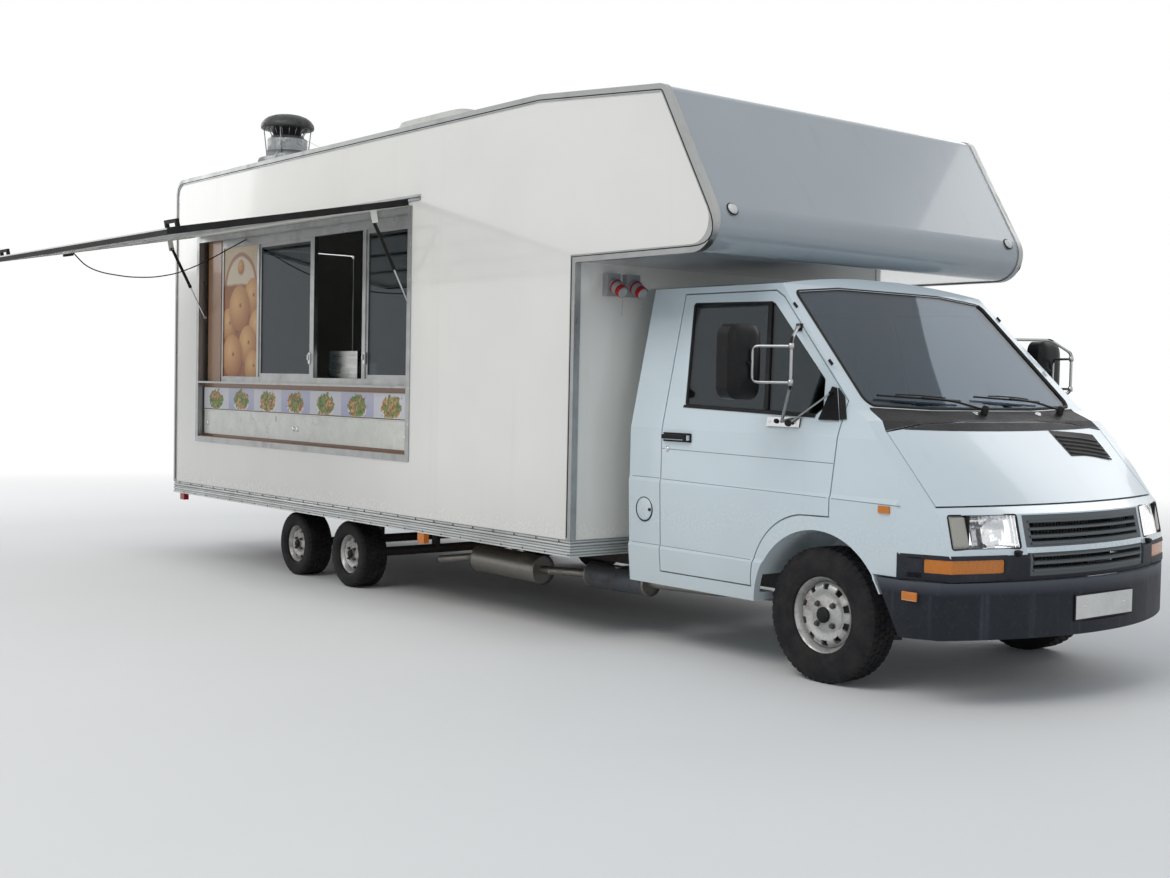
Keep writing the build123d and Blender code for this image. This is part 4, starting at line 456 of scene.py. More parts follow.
def salad_strip(name):
    """A strip of seven plain pictures: a heap of salad leaves and vegetables on a plate, and no words."""
    s = Shade(name)
    u = local(s, 0, at(-5.986, 0, 0).x, 0.4146)
    cell = s.maths("FLOOR", u)
    x = s.times(s.maths("FRACT", u), 2.69)
    z = local(s, 2, 1.133, 0.154)
    every_other = s.ramp(s.maths("FRACT", s.times(cell, 0.5)), 0.2, 0.3)
    pale = s.mix(every_other, (0.66, 0.66, 0.72), (0.44, 0.44, 0.62))
    base = s.mix(s.ramp(z, 0.0, 1.0, 0.0, 0.4), pale, (0.78, 0.78, 0.80))
    base = s.mix(disc(s, x, s.times(z, 2.2), 1.345, 0.60, 0.78, 0.05), base, (0.80, 0.79, 0.76))
    rough_edge = s.times(s.minus(s.noise(40.0, 4.0), 0.5), 0.7)
    x2, z2 = s.plus(x, rough_edge), s.plus(z, rough_edge)
    patches = s.noise(34.0, 3.0, s.scaled(1.0, 1.0, 1.6))
    greens = s.mix(s.ramp(patches, 0.35, 0.6), (0.045, 0.13, 0.025), (0.20, 0.30, 0.07))
    browns = s.mix(s.ramp(s.noise(52.0, 3.0), 0.4, 0.62), (0.24, 0.09, 0.035), (0.66, 0.42, 0.17))
    food = s.mix(s.ramp(s.noise(21.0, 2.0), 0.44, 0.56), greens, browns)
    heap = disc(s, s.times(s.minus(x2, 1.345), 0.62), z2, 0.0, 0.44, 0.50, 0.05)
    base = s.mix(heap, base, food)
    line = s.ramp(s.maths("ABSOLUTE", s.minus(s.maths("FRACT", u), 0.5)), 0.492, 0.498)
    s.set(Base_Color=s.mix(line, base, (0.70, 0.70, 0.70)), Roughness=0.5)
    s.bump(s.noise(30.0, 3.0), 0.08, 0.0005)
    return s.material


M = {}


def make(maker, name, *values, **settings):
    M[name] = maker(name, *values, **settings)


make(painted, "cab_paint", (0.66, 0.755, 0.8), rough=0.22, coat=0.4, dust=0.22, grime=0.05)
make(painted, "body_white", (0.82, 0.81, 0.765), rough=0.18, coat=0.6, dust=0.16, grime=0.05, foot=0.4, waist=0.95)
make(painted, "overcab_grey", (0.34, 0.385, 0.42), rough=0.22, grime=0.08)
make(painted, "roof_white", (0.62, 0.62, 0.59), rough=0.5, coat=0.0, grime=0.35)
make(metal, "alu_trim", (0.4, 0.41, 0.41), rough=0.34, stain=0.25, brush=(0.2, 1.0, 0.2))
make(ribbed, "alu_ribbed")
make(plastic, "black_plastic", (0.014, 0.014, 0.015), faded=(0.045, 0.045, 0.048), dust=0.07)
make(plastic, "grey_plastic", (0.022, 0.025, 0.032), fade=0.5, faded=(0.055, 0.058, 0.068), dust=0.05)
make(plastic, "slat_grey", (0.135, 0.15, 0.155), rough=0.45, faded=(0.18, 0.19, 0.195), dust=0.06)
# its shelf paints light along the bumper's top edge, lighter as if lit from above
make(plastic, "bumper_grey", (0.018, 0.021, 0.028), fade=0.5, faded=(0.04, 0.043, 0.052), dust=0.05,
     shelf=(0.49, 0.546, (0.1, 0.11, 0.13)))
make(pane, "clear_glass", (0.22, 0.26, 0.27))
make(pane, "screen_glass", (0.27, 0.33, 0.37), smear=0.03)
make(lens, "lamp_clear", (0.86, 0.88, 0.9), ribs=300.0, transmission=0.97, rough=0.03, depth=0.22)
make(lens, "lamp_amber", (0.85, 0.27, 0.02))
make(lens, "lamp_red", (0.5, 0.01, 0.01))
make(rubber, "tyre_rubber", (0.012, 0.012, 0.014), dust=0.16)
make(rubber, "seal_rubber", (0.012, 0.012, 0.013), dust=0.12, rough=0.55)
make(rusty, "rim_steel", (0.5, 0.5, 0.49), metallic=0.55, rust=0.28, rough=0.36, scale=7.0)
make(rusty, "chassis_black", (0.03, 0.03, 0.031), metallic=0.1, rust=0.3, rough=0.6, scale=7.0)
make(rusty, "engine_iron", (0.09, 0.09, 0.09), metallic=0.7, rust=0.4, rough=0.55)
make(rusty, "exhaust_steel", (0.29, 0.28, 0.255), metallic=0.8, rust=0.14, rough=0.4, scale=5.0)
make(plastic, "board_print", (0.7, 0.62, 0.5), rough=0.3, depth=0.05)
make(wooden, "wood_brown", (0.36, 0.165, 0.06), (0.21, 0.09, 0.035), along=(6.0, 6.0, 0.5))
make(wooden, "floor_ply", (0.16, 0.11, 0.07), (0.07, 0.05, 0.035), rough=0.6, coat=0.0)
make(marbled, "counter_white")
make(metal, "kitchen_steel", (0.56, 0.56, 0.55), rough=0.28, brush=(0.03, 1.0, 1.0))
make(woven, "seat_cloth", (0.035, 0.045, 0.065), (0.07, 0.08, 0.1))
make(plastic, "dash_plastic", (0.03, 0.031, 0.034), rough=0.6)
make(plastic, "roof_light", (0.62, 0.62, 0.58), rough=0.3, depth=0.05, fade=0.6, faded=(0.42, 0.42, 0.36))
make(rusty, "chimney_metal", (0.035, 0.038, 0.042), metallic=0.3, rust=0.06, rough=0.42)
make(plastic, "inlet_grey", (0.36, 0.37, 0.38), rough=0.4, grain=900.0, depth=0.1)
make(metal, "strut_steel", (0.66, 0.66, 0.67), rough=0.14, stain=0.1)
make(rubber, "cable_black", (0.022, 0.022, 0.024), dust=0.2, rough=0.5)
make(metal, "silver_reflector", (0.85, 0.86, 0.87), rough=0.08, stain=0.05)
make(plastic, "red_plastic", (0.42, 0.02, 0.02), rough=0.35, depth=0.1, fade=0.1)
make(glowing, "lamp_glow", (0.95, 0.93, 0.88), 0.3)
make(plastic, "dome_clear", (0.5, 0.55, 0.57), rough=0.15, depth=0.03, fade=0.6, faded=(0.36, 0.39, 0.39))
make(rusty, "duct_grey", (0.3, 0.32, 0.33), metallic=0.7, rust=0.08, rough=0.45)
make(rusty, "dark_muffler", (0.085, 0.1, 0.115), metallic=0.3, rust=0.12, rough=0.5)
make(metal, "mirror_tube", (0.42, 0.43, 0.43), rough=0.35, stain=0.35)
make(metal, "chrome", (0.74, 0.75, 0.76), rough=0.1, stain=0.12)
make(plastic, "beige_lens", (0.42, 0.41, 0.36), rough=0.2, grain=300.0, depth=0.2, fade=0.2, faded=(0.5, 0.49, 0.44))
# a dark sheet behind the seats, as painted shade inside the cab
make(plastic, "liner", (0.04, 0.045, 0.055), rough=0.8, grain=200.0, depth=0.05, fade=0.2, faded=(0.1, 0.1, 0.11))
make(plastic, "mirror_black", (0.01, 0.01, 0.011), rough=0.32, depth=0.2, fade=0.1, faded=(0.04, 0.04, 0.04),
     dust=0.03)
make(plastic, "crease_shadow", (0.2, 0.24, 0.27), rough=0.4, depth=0.05, grain=900.0, fade=0.2,
     faded=(0.3, 0.34, 0.37))
make(plastic, "plate_white", (0.74, 0.74, 0.71), rough=0.3, depth=0.05, grain=900.0)
make(radiator, "radiator_fins")
make(fruit_poster, "poster")
make(salad_strip, "strip_print")
make(plastic, "white_plastic", (0.72, 0.72, 0.7), rough=0.35, depth=0.08, fade=0.2, faded=(0.6, 0.6, 0.55))

slot_of = {row["node"]: row["material_slot"] for row in frame["record"]["subparts"]}


def paint(obj, name):
    """One material over a whole piece."""
    obj.data.materials.clear()
    obj.data.materials.append(M[name])


for name, obj in nodes.items():
    paint(obj, slot_of[name])
for node, look in (("windscreen", "screen_glass"), ("strut_tubes", "mirror_black"), ("grille", "slat_grey"),
                   ("bumper", "bumper_grey"), ("mirror_right", "mirror_black"), ("mirror_left", "mirror_black")):
    paint(nodes[node], look)
paint(cable, "cable_black")

# Light: a plain soft studio with a white surround

scene = bpy.context.scene
scene.view_settings.view_transform = "Standard"
world = bpy.data.worlds.new("studio")
scene.world = world
world.use_nodes = True
sky = world.node_tree
sky.nodes.clear()
path = sky.nodes.new("ShaderNodeLightPath")
looking = path.outputs["Is Camera Ray"]
for kind in ("Is Glossy Ray", "Is Transmission Ray"):
    either = sky.nodes.new("ShaderNodeMath")
    either.operation = "MAXIMUM"
    sky.links.new(looking, either.inputs[0])
    sky.links.new(path.outputs[kind], either.inputs[1])
    looking = either.outputs[0]
blend_sky = sky.nodes.new("ShaderNodeMixShader")
sky.links.new(looking, blend_sky.inputs[0])
# what lights the truck, and what rays that look or mirror see
for socket, colour, strength in ((1, (0.86, 0.92, 1.0, 1.0), 0.46), (2, (1.0, 1.0, 1.0, 1.0), 1.0)):
    background = sky.nodes.new("ShaderNodeBackground")
    background.inputs["Color"].default_value = colour
    background.inputs["Strength"].default_value = strength
    sky.links.new(background.outputs[0], blend_sky.inputs[socket])
out = sky.nodes.new("ShaderNodeOutputWorld")
sky.links.new(blend_sky.outputs[0], out.inputs["Surface"])


def area_light(name, place, aim, size, power, colour=(1.0, 1.0, 1.0)):
    data = bpy.data.lights.new(name, "AREA")
    data.shape = "RECTANGLE"
    data.size, data.size_y = size
    data.energy = power
    data.color = colour
    lamp = link(bpy.data.objects.new(name, data))
    lamp.location = at(*place)
    lamp.rotation_euler = (at(*aim) - at(*place)).to_track_quat("-Z", "Y").to_euler()


area_light("key", (-1.0, -9.5, 10.5), (-2.5, 0, 1.2), (9.0, 6.0), 640.0, (1.0, 0.985, 0.96))
area_light("front_fill", (10.5, -1.5, 5.5), (0, 0, 1.0), (7.0, 5.0), 120.0, (0.93, 0.96, 1.0))
area_light("far_fill", (-2.0, 11.0, 7.0), (-2.5, 0, 1.0), (9.0, 5.0), 210.0)
area_light("rear_fill", (-13.0, -2.0, 5.0), (-5.0, 0, 1.2), (6.0, 5.0), 160.0)

FLOOR_HALF = 60.0
CORNERS = ((-1, -1), (1, -1), (1, 1), (-1, 1))
WHITE_FROM, WHITE_TO = 6.0, 13.0    # distance at which the floor starts to fade and is plain white
floor_mesh = bpy.data.meshes.new("studio_floor")
floor_mesh.from_pydata([at(FLOOR_HALF * x, FLOOR_HALF * y, 0.0) for x, y in CORNERS], [], [(0, 1, 2, 3)])
floor = link(bpy.data.objects.new("studio_floor", floor_mesh))
s = Shade("pale_floor")
s.set(Base_Color=s.mix(s.noise(0.9, 4.0), (0.80, 0.80, 0.79), (0.84, 0.84, 0.83)), Roughness=0.75)
distance = s.node("ShaderNodeVectorMath", {0: s.coords}, operation="LENGTH").outputs["Value"]
far = s.ramp(distance, WHITE_FROM, WHITE_TO)
rays = s.node("ShaderNodeLightPath").outputs
looks = s.maths("MAXIMUM", rays["Is Glossy Ray"], rays["Is Transmission Ray"])
looks = s.maths("MAXIMUM", rays["Is Camera Ray"], looks)
plain = s.node("ShaderNodeEmission", {"Color": (1.0, 1.0, 1.0), "Strength": 1.0})
mixed = s.node("ShaderNodeMixShader", {0: s.times(far, looks), 1: s.surface.outputs[0], 2: plain})
s.tree.links.new(mixed.outputs[0], s.tree.nodes["Material Output"].inputs["Surface"])
floor.data.materials.append(s.material)


# Building blocks for the small parts


def mesh_piece(name, points, faces, slot, material=None, body="truck", smooth=False):
    """A piece of the truck from points in the row frame; it rides on a body and is painted with its material, or with
    the slot's when none is given.
    """
    data = bpy.data.meshes.new(name)
    data.from_pydata([tuple(p) for p in points], [], faces)
    if smooth:
        smoothed(data)
    obj = link(bpy.data.objects.new(name, data))
    paint(obj, material or slot)
    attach(obj, body)
    return obj


DOME_RINGS = 3
BOX_FACES = ((0, 1, 3, 2), (4, 6, 7, 5), (0, 4, 5, 1), (2, 3, 7, 6), (0, 2, 6, 4), (1, 5, 7, 3))


def grid_faces(columns, rows, flip=False):
    """Faces over a grid of points that are listed column by column."""
    n = rows + 1
    faces = [(i * n + j, (i + 1) * n + j, (i + 1) * n + j + 1, i * n + j + 1)
             for i in range(columns) for j in range(rows)]
    return [face[::-1] for face in faces] if flip else faces


def rounded_square(u, v, power):
    """A point of the square from -1 to 1 moved into a square with round corners."""
    squeeze = max(abs(u), abs(v)) / max(1e-6, (abs(u) ** power + abs(v) ** power) ** (1 / power))
    return u * squeeze, v * squeeze


def bend(a, corner, b, steps):
    """Places of a round corner between two points."""
    shares = [k / steps for k in range(steps + 1)]
    return [a * (1 - t) ** 2 + corner * 2 * t * (1 - t) + b * t ** 2 for t in shares]


class Pile:
    """Points and faces gathered from many small forms into one piece; each form gives the pile back."""

    def __init__(self):
        self.points, self.faces = [], []

    def add(self, points, faces):
        start = len(self.points)
        self.points.extend(points)
        self.faces.extend(tuple(start + i for i in face) for face in faces)
        return self

    def box(self, low, high, turn=None, about=None):
        points = [at(x, y, z) for x in (low[0], high[0]) for y in (low[1], high[1]) for z in (low[2], high[2])]
        if turn is not None:
            pivot = at(*about)
            points = [turn @ (p - pivot) + pivot for p in points]
        return self.add(points, BOX_FACES)

    def lathe(self, profile, origin, axis, count=32):
        """A profile of (radius, height) turned round an axis through the origin."""
        axis = Vector(axis).normalized()
        side = axis.orthogonal().normalized()
        other = axis.cross(side)
        origin = at(*origin)
        points = []
        for i in range(count):
            a = math.tau * i / count
            out = side * math.cos(a) + other * math.sin(a)
            points.extend(origin + out * r + axis * h for r, h in profile)
        n = len(profile)
        faces = []
        for i in range(count):
            j = (i + 1) % count
            faces.extend((i * n + k, j * n + k, j * n + k + 1, i * n + k + 1) for k in range(n - 1))
        return self.add(points, faces)

    def rod(self, start, end, radius, count=12):
        run = Vector(end) - Vector(start)
        return self.lathe([(0, 0), (radius, 0), (radius, run.length), (0, run.length)], start, run, count)

    def dome(self, place, axis, radius, height, count=8):
        angles = [i * math.pi / 2 / DOME_RINGS for i in range(DOME_RINGS + 1)]
        profile = [(radius * math.cos(a), height * math.sin(a)) for a in angles]
        return self.lathe(profile, place, axis, count)

    def piece(self, name, slot, material=None, body="truck", smooth=False, bevel=0.0):
        obj = mesh_piece(name, self.points, self.faces, slot, material, body, smooth)
        if bevel:
            edge = obj.modifiers.new("edge", "BEVEL")
            edge.width = bevel
            edge.segments = 2
            edge.limit_method = "ANGLE"
        return obj


def turned(name, profile, place, axis, count, slot, material=None, body="truck"):
    """One smooth turned form as a piece."""
    Pile().lathe(profile, place, axis, count).piece(name, slot, material, body, smooth=True)


def boxed(name, low, high, slot, material=None, body="truck", bevel=0.0):
    """One box as a piece."""
    Pile().box(low, high).piece(name, slot, material, body, bevel=bevel)


def tube_piece(name, points, radius, slot, material=None, body="truck", cyclic=False, corner=0.0, sides=3):
    """A round line through points of the truck's frame, with its corners rounded where asked."""
    places = [p if isinstance(p, Vector) else at(*p) for p in points]
    rounded = []
    count = len(places)
    for i, here in enumerate(places):
        if not corner or not (cyclic or 0 < i < count - 1):
            rounded.append(here)
            continue
        back, ahead = places[i - 1] - here, places[(i + 1) % count] - here
        cut = min(corner, back.length * 0.45, ahead.length * 0.45)
        rounded += bend(here + back.normalized() * cut, here, here + ahead.normalized() * cut, 4)
    obj, spline = curve(name, "POLY", rounded, radius, sides)
    obj.data.use_fill_caps = True
    spline.use_cyclic_u = cyclic
    obj.data.materials.append(M[material or slot])
    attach(obj, body)


def rims_of(node, facing, share=0.6):
    """Closed loops of points round the faces of a CAD node that look along a direction."""
    source = bmesh.new()
    source.from_mesh(nodes[node].data)
    bmesh.ops.remove_doubles(source, verts=source.verts, dist=1e-5)
    facing = Vector(facing).normalized()
    chosen = {f for f in source.faces if f.normal.dot(facing) > share}
    edges = [e for e in source.edges if sum(f in chosen for f in e.link_faces) == 1]
    links = {}
    for e in edges:
        a, b = e.verts
        links.setdefault(a, []).append(b)
        links.setdefault(b, []).append(a)
    loops, used = [], set()
    for first in links:
        if first in used:
            continue
        loop, here, before = [first], links[first][0], first
        used.add(first)
        while here is not first and here not in used:
            loop.append(here)
            used.add(here)
            ahead = [v for v in links[here] if v is not before]
            before, here = here, (ahead[0] if ahead else first)
        loops.append([v.co.copy() for v in loop])
    source.free()
    return sorted(loops, key=lambda loop: -sum((a - b).length for a, b in zip(loop, loop[1:])))


# Wheels

FRONT_TYRE = {"radius": 0.317, "rim": 0.182, "width": 0.182}
REAR_TYRE = {"radius": 0.218, "rim": 0.130, "width": 0.190}
LIP_SHARE = 0.80    # how far out the rim's lip and the tread's edge lie
WHEEL_NUTS = 4


def tyre_points(spec, centre, side, blocks):
    """Carcass with ribbed shoulders and a block tread, turned about the axle; side is outward, 1 or -1."""
    r, rim, half = spec["radius"], spec["rim"], spec["width"] / 2
    wall = r - rim
    tread = half * LIP_SHARE
    # width from the middle, radius, and the kind: 0 smooth, 1 to 3 cut at the last phase of a block, 4 at the second
    profile = [(half * 0.74, rim - 0.004, 0), (half * 0.86, rim, 0)]
    profile += [(half * width, rim + wall * rise, 0) for width, rise in (
        (0.90, 0.06), (0.97, 0.22), (0.985, 0.25), (0.985, 0.28), (1.0, 0.48), (0.995, 0.66), (0.965, 0.80))]
    profile += [(half * 0.93, r - wall * 0.14, 0), (half * 0.90, r - wall * 0.085, 1), (tread + 0.004, r - 0.0045, 2)]
    ribs = 4
    depth = groove = 0.0065
    span = 2 * tread / ribs
    for k in range(ribs):
        top = tread - k * span
        low = top - span
        profile.append((top - (groove / 2 if k else 0), r, 3 + k % 2))
        profile.append((low + (groove / 2 if k < ribs - 1 else 0), r, 3 + k % 2))
        if k < ribs - 1:
            profile.append((low + groove / 2 - 0.001, r - depth, 0))
            profile.append((low - groove / 2 + 0.001, r - depth, 0))
    profile += [(-y, z, kind) for y, z, kind in reversed(profile[:12])]
    steps = blocks * 4
    points, faces = [], []
    n = len(profile)
    for i in range(steps):
        a = math.tau * i / steps
        for y, radius, kind in profile:
            cut_phase = {0: None, 4: 1}.get(kind, 3)
            rr = radius - (depth * 0.8 if i % 4 == cut_phase else 0.0)
            points.append(at(centre[0] + rr * math.cos(a), centre[1] + side * y, centre[2] + rr * math.sin(a)))
    for i in range(steps):
        j = (i + 1) % steps
        for k in range(n - 1):
            quad = (i * n + k, j * n + k, j * n + k + 1, i * n + k + 1)
            faces.append(quad if side > 0 else quad[::-1])
    return points, faces


def rim_points(spec, centre, side, slots):
    """Steel disc wheel: a drop-centre barrel and a dished disc with slots; side is outward, 1 or -1."""
    rim, half = spec["rim"], spec["width"] / 2
    pile = Pile()
    lip = half * LIP_SHARE
    barrel = [(rim + rise, lip - deep) for rise, deep in (
        (0.006, 0.0), (0.009, 0.003), (0.003, 0.010), (-0.006, 0.014), (-0.008, 0.030), (-0.026, 0.045))]
    barrel += [(rim + rise, deep - lip) for rise, deep in (
        (-0.028, 0.04), (-0.008, 0.02), (-0.004, 0.010), (0.008, 0.0))]
    inner = [(r - 0.004, h) for r, h in reversed(barrel)]
    pile.lathe(barrel + inner + [barrel[0]], centre, (0, side, 0), 72)
    # the disc, as rings of (share of the rim, depth from the lip)
    rings = [(0.845, 0.040), (0.80, 0.028), (0.72, 0.020), (0.66, 0.019), (0.58, 0.024), (0.50, 0.032),
             (0.42, 0.026), (0.36, 0.022), (0.20, 0.022), (0.15, 0.010), (0.14, 0.004), (0.0, 0.003)]
    steps = slots * 10
    start = len(pile.points)
    axis = Vector((0, side, 0))
    for i in range(steps):
        a = math.tau * i / steps
        for share, deep in rings:
            place = Vector((math.cos(a) * rim * share, 0, math.sin(a) * rim * share)) + axis * (lip - deep)
            pile.points.append(at(*(Vector(centre) + place)))
    n = len(rings)
    for i in range(steps):
        j = (i + 1) % steps
        for k in range(n - 1):
            in_slot = (i % 10) in (3, 4, 5, 6) and k in (1, 2)
            if not in_slot:
                a, b = start + i * n + k, start + j * n + k
                pile.faces.append((a, b, b + 1, a + 1))
    # return walls of the slots
    for s_index in range(slots):
        for i, k in ((3, 1), (3, 2), (7, 1), (7, 2)):
            column = (s_index * 10 + i) % steps
            a, b = start + column * n + k, start + column * n + k + 1
            base = len(pile.points)
            pile.points += [pile.points[a] - axis * 0.012, pile.points[b] - axis * 0.012]
            pile.faces.append((a, b, base + 1, base))
    return pile


def wheel(name, centre, side, spec, body, slots, blocks, replaced):
    points, faces = tyre_points(spec, centre, side, blocks)
    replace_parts(mesh_piece(f"{name}_tyre", points, faces, "tyre_rubber", body=body), *replaced)
    rim_points(spec, centre, side, slots).piece(f"{name}_rim", "rim_steel", smooth=True, body=body)
    bolts = Pile()
    lip = spec["width"] / 2 * LIP_SHARE
    size = spec["rim"] / 0.182
    for i in range(WHEEL_NUTS):
        a = math.tau * (i + 0.5) / WHEEL_NUTS
        ring = spec["rim"] * 0.36
        foot = (centre[0] + ring * math.cos(a), centre[1] + side * (lip - 0.022), centre[2] + ring * math.sin(a))
        nut = ((0.0, 0.018), (0.008, 0.018), (0.012, 0.013), (0.012, 0.0), (0.017, 0.0))
        bolts.lathe([(r * size, h) for r, h in nut], foot, (0, side, 0), 6)
    bolts.piece(f"{name}_nuts", "rim_steel", "engine_iron", body=body)
    turned(f"{name}_cap", [(r * size, h) for r, h in ((0.0, 0.016), (0.030, 0.014), (0.037, 0.008), (0.038, 0.0))],
           (centre[0], centre[1] + side * (lip - 0.012), centre[2]), (0, side, 0), 24, "black_plastic", body=body)


FRONT_Y, REAR_Y = 0.794, 1.037
REAR_X = (-3.904, -4.630)
SIDES = ((-1, "right"), (1, "left"))
for side, word in SIDES:
    wheel(f"front_{word}", (0.0, side * FRONT_Y, FRONT_TYRE["radius"]), side, FRONT_TYRE,
          f"roll_front_{word}", 10, 52, (f"tyre_front_{word}", f"rim_front_{word}"))
    for number, x in enumerate(REAR_X, 1):
        wheel(f"rear_{number}_{word}", (x, side * REAR_Y, REAR_TYRE["radius"]), side, REAR_TYRE,
              f"roll_rear_{number}_{word}", 8, 38, (f"wheel_rear_{number}_{word}",))

# Seals round the glass and the doors

GLASS_SEALS = (("windscreen", (0.7, 0, 0.7), 0.011, "truck"),
               ("door_right_glass", (0, -1, 0), 0.009, "door_right_leaf"),
               ("door_left_glass", (0, 1, 0), 0.009, "door_left_leaf"))
for node, direction, radius, body in GLASS_SEALS:
    loop = rims_of(node, direction)[0]
    tube_piece(f"{node}_seal", loop, radius, "black_plastic", "seal_rubber", body, cyclic=True)


# height and distance from the mid-plane of the cab's side
SIDE_PROFILE = ((0.340, 0.930), (0.528, 0.948), (0.546, 0.941), (0.872, 0.953), (0.892, 0.947), (1.150, 0.945),
                (1.880, 0.788))


def side_y(z):
    """Distance of the cab's side from the mid-plane at a height."""
    for (z0, y0), (z1, y1) in zip(SIDE_PROFILE, SIDE_PROFILE[1:]):
        if z <= z1:
            return y0 + (y1 - y0) * (z - z0) / (z1 - z0)
    return SIDE_PROFILE[-1][1]


def on_side(side, x, z, out=0.0):
    """A point on the cab's side, or proud of it."""
    return (x, side * (side_y(z) + out), z)


def sheet_on_side(name, side, outline, out, thick, slot, material=None, body="truck"):
    """A flat plate with the given outline in side view, lying on the cab's side."""
    n = len(outline)
    front = [at(*on_side(side, x, z, out + thick)) for x, z in outline]
    back = [at(*on_side(side, x, z, out)) for x, z in outline]
    faces = [tuple(range(n)), tuple(range(2 * n - 1, n - 1, -1))]
    faces += [(i, n + i, n + (i + 1) % n, (i + 1) % n) for i in range(n)]
    Pile().add(front + back, faces).piece(name, slot, material, bevel=0.0015, body=body)


DIVIDER = ((-0.447, 1.785), (-0.422, 1.785), (-0.330, 1.266), (-0.356, 1.266))
CORNER_FRONT = ((0.095, 1.378), (0.140, 1.338), (0.172, 1.236), (0.136, 1.230))
SILL_STRIP = ((-0.915, 1.262), (-0.02, 1.236), (-0.015, 1.250), (-0.910, 1.276))
for side, word in SIDES:
    leaf = f"door_{word}_leaf"
    sheet_on_side(f"door_{word}_divider", side, DIVIDER, -0.012, 0.011, "black_plastic", body=leaf)
    sheet_on_side(f"door_{word}_sill_strip", side, SILL_STRIP, 0.0005, 0.004, "black_plastic", "seal_rubber", leaf)
    sheet_on_side(f"corner_plate_{word}", side, CORNER_FRONT, 0.0005, 0.009, "black_plastic")
    # paddle handle over the grip, its bezel and the lock
    pile = Pile().box((-1.028, side * 0.948, 1.086), (-0.822, side * 0.953, 1.132))
    pile.box((-1.018, side * 0.957, 1.100), (-0.845, side * 0.977, 1.122))
    pile.box((-0.862, side * 0.948, 1.092), (-0.838, side * 0.974, 1.128))
    pile.piece(f"door_{word}_handle", "black_plastic", bevel=0.003, body=leaf)
    pile = Pile().lathe([(0.0, 0.009), (0.010, 0.009), (0.013, 0.006), (0.014, 0.0)],
                        (-1.000, side * 0.945, 1.048), (0, side, 0), 24)
    pile.box((-1.001, side * 0.9535, 1.042), (-0.999, side * 0.9555, 1.054))
    pile.piece(f"door_{word}_lock", "alu_trim", "strut_steel", body=leaf)
    # mirror: swollen back shell and the glass behind it
    middle = (-0.240, side * 1.215, 1.487)
    steps = 20
    for name, front, swell, half_y, half_z, look in (
            ("shell", 0.0345, 0.030, 0.105, 0.173, ("black_plastic", "mirror_black")),
            ("glass", -0.0365, 0.0, 0.094, 0.162, ("clear_glass", "silver_reflector"))):
        points = []
        for i in range(steps + 1):
            for j in range(steps + 1):
                u, v = rounded_square(2 * i / steps - 1, 2 * j / steps - 1, 5)
                rise = 1 - (abs(u) ** 4 + abs(v) ** 4) / 2
                edge = max(0.0, 1 - (abs(u) ** 5 + abs(v) ** 5))
                points.append(at(middle[0] + front + swell * rise * edge ** 0.35, middle[1] + half_y * u,
                                 middle[2] + half_z * v))
        mesh_piece(f"mirror_{word}_{name}", points, grid_faces(steps, steps), *look, leaf, smooth=True)

# creases pressed into the side, as shadow lines that ride on the door or on the cab
CREASES = (((-1.275, 0.5465), (-0.395, 0.5395)), ((-1.275, 0.8945), (0.085, 0.8735)),
           ((0.112, 0.873), (0.505, 0.866)), ((-1.040, 1.047), (0.115, 1.032)))
CREASE_SUNK, CREASE_RADIUS = -0.0006, 0.0018
for side, word in SIDES:
    for number, ((x0, z0), (x1, z1)) in enumerate(CREASES):
        body = f"door_{word}_leaf" if number in (0, 1, 3) else "truck"
        # the first two start on the fixed panel behind the door
        split = number in (0, 1)
        rear = [on_side(side, -1.270 + 0.215 * j / 6, z0 - 0.001, CREASE_SUNK) for j in range(7)]
        if split:
            x0, z0 = -1.036, z0 + (z1 - z0) * 0.2
        line = [on_side(side, x0 + (x1 - x0) * j / 12, z0 + (z1 - z0) * j / 12, CREASE_SUNK) for j in range(13)]
        tube_piece(f"crease_{word}_{number}_0", line, CREASE_RADIUS, "cab_paint", "crease_shadow", body, sides=1)
        if split:
            tube_piece(f"crease_{word}_{number}_rear", rear, CREASE_RADIUS, "cab_paint", "crease_shadow", sides=1)

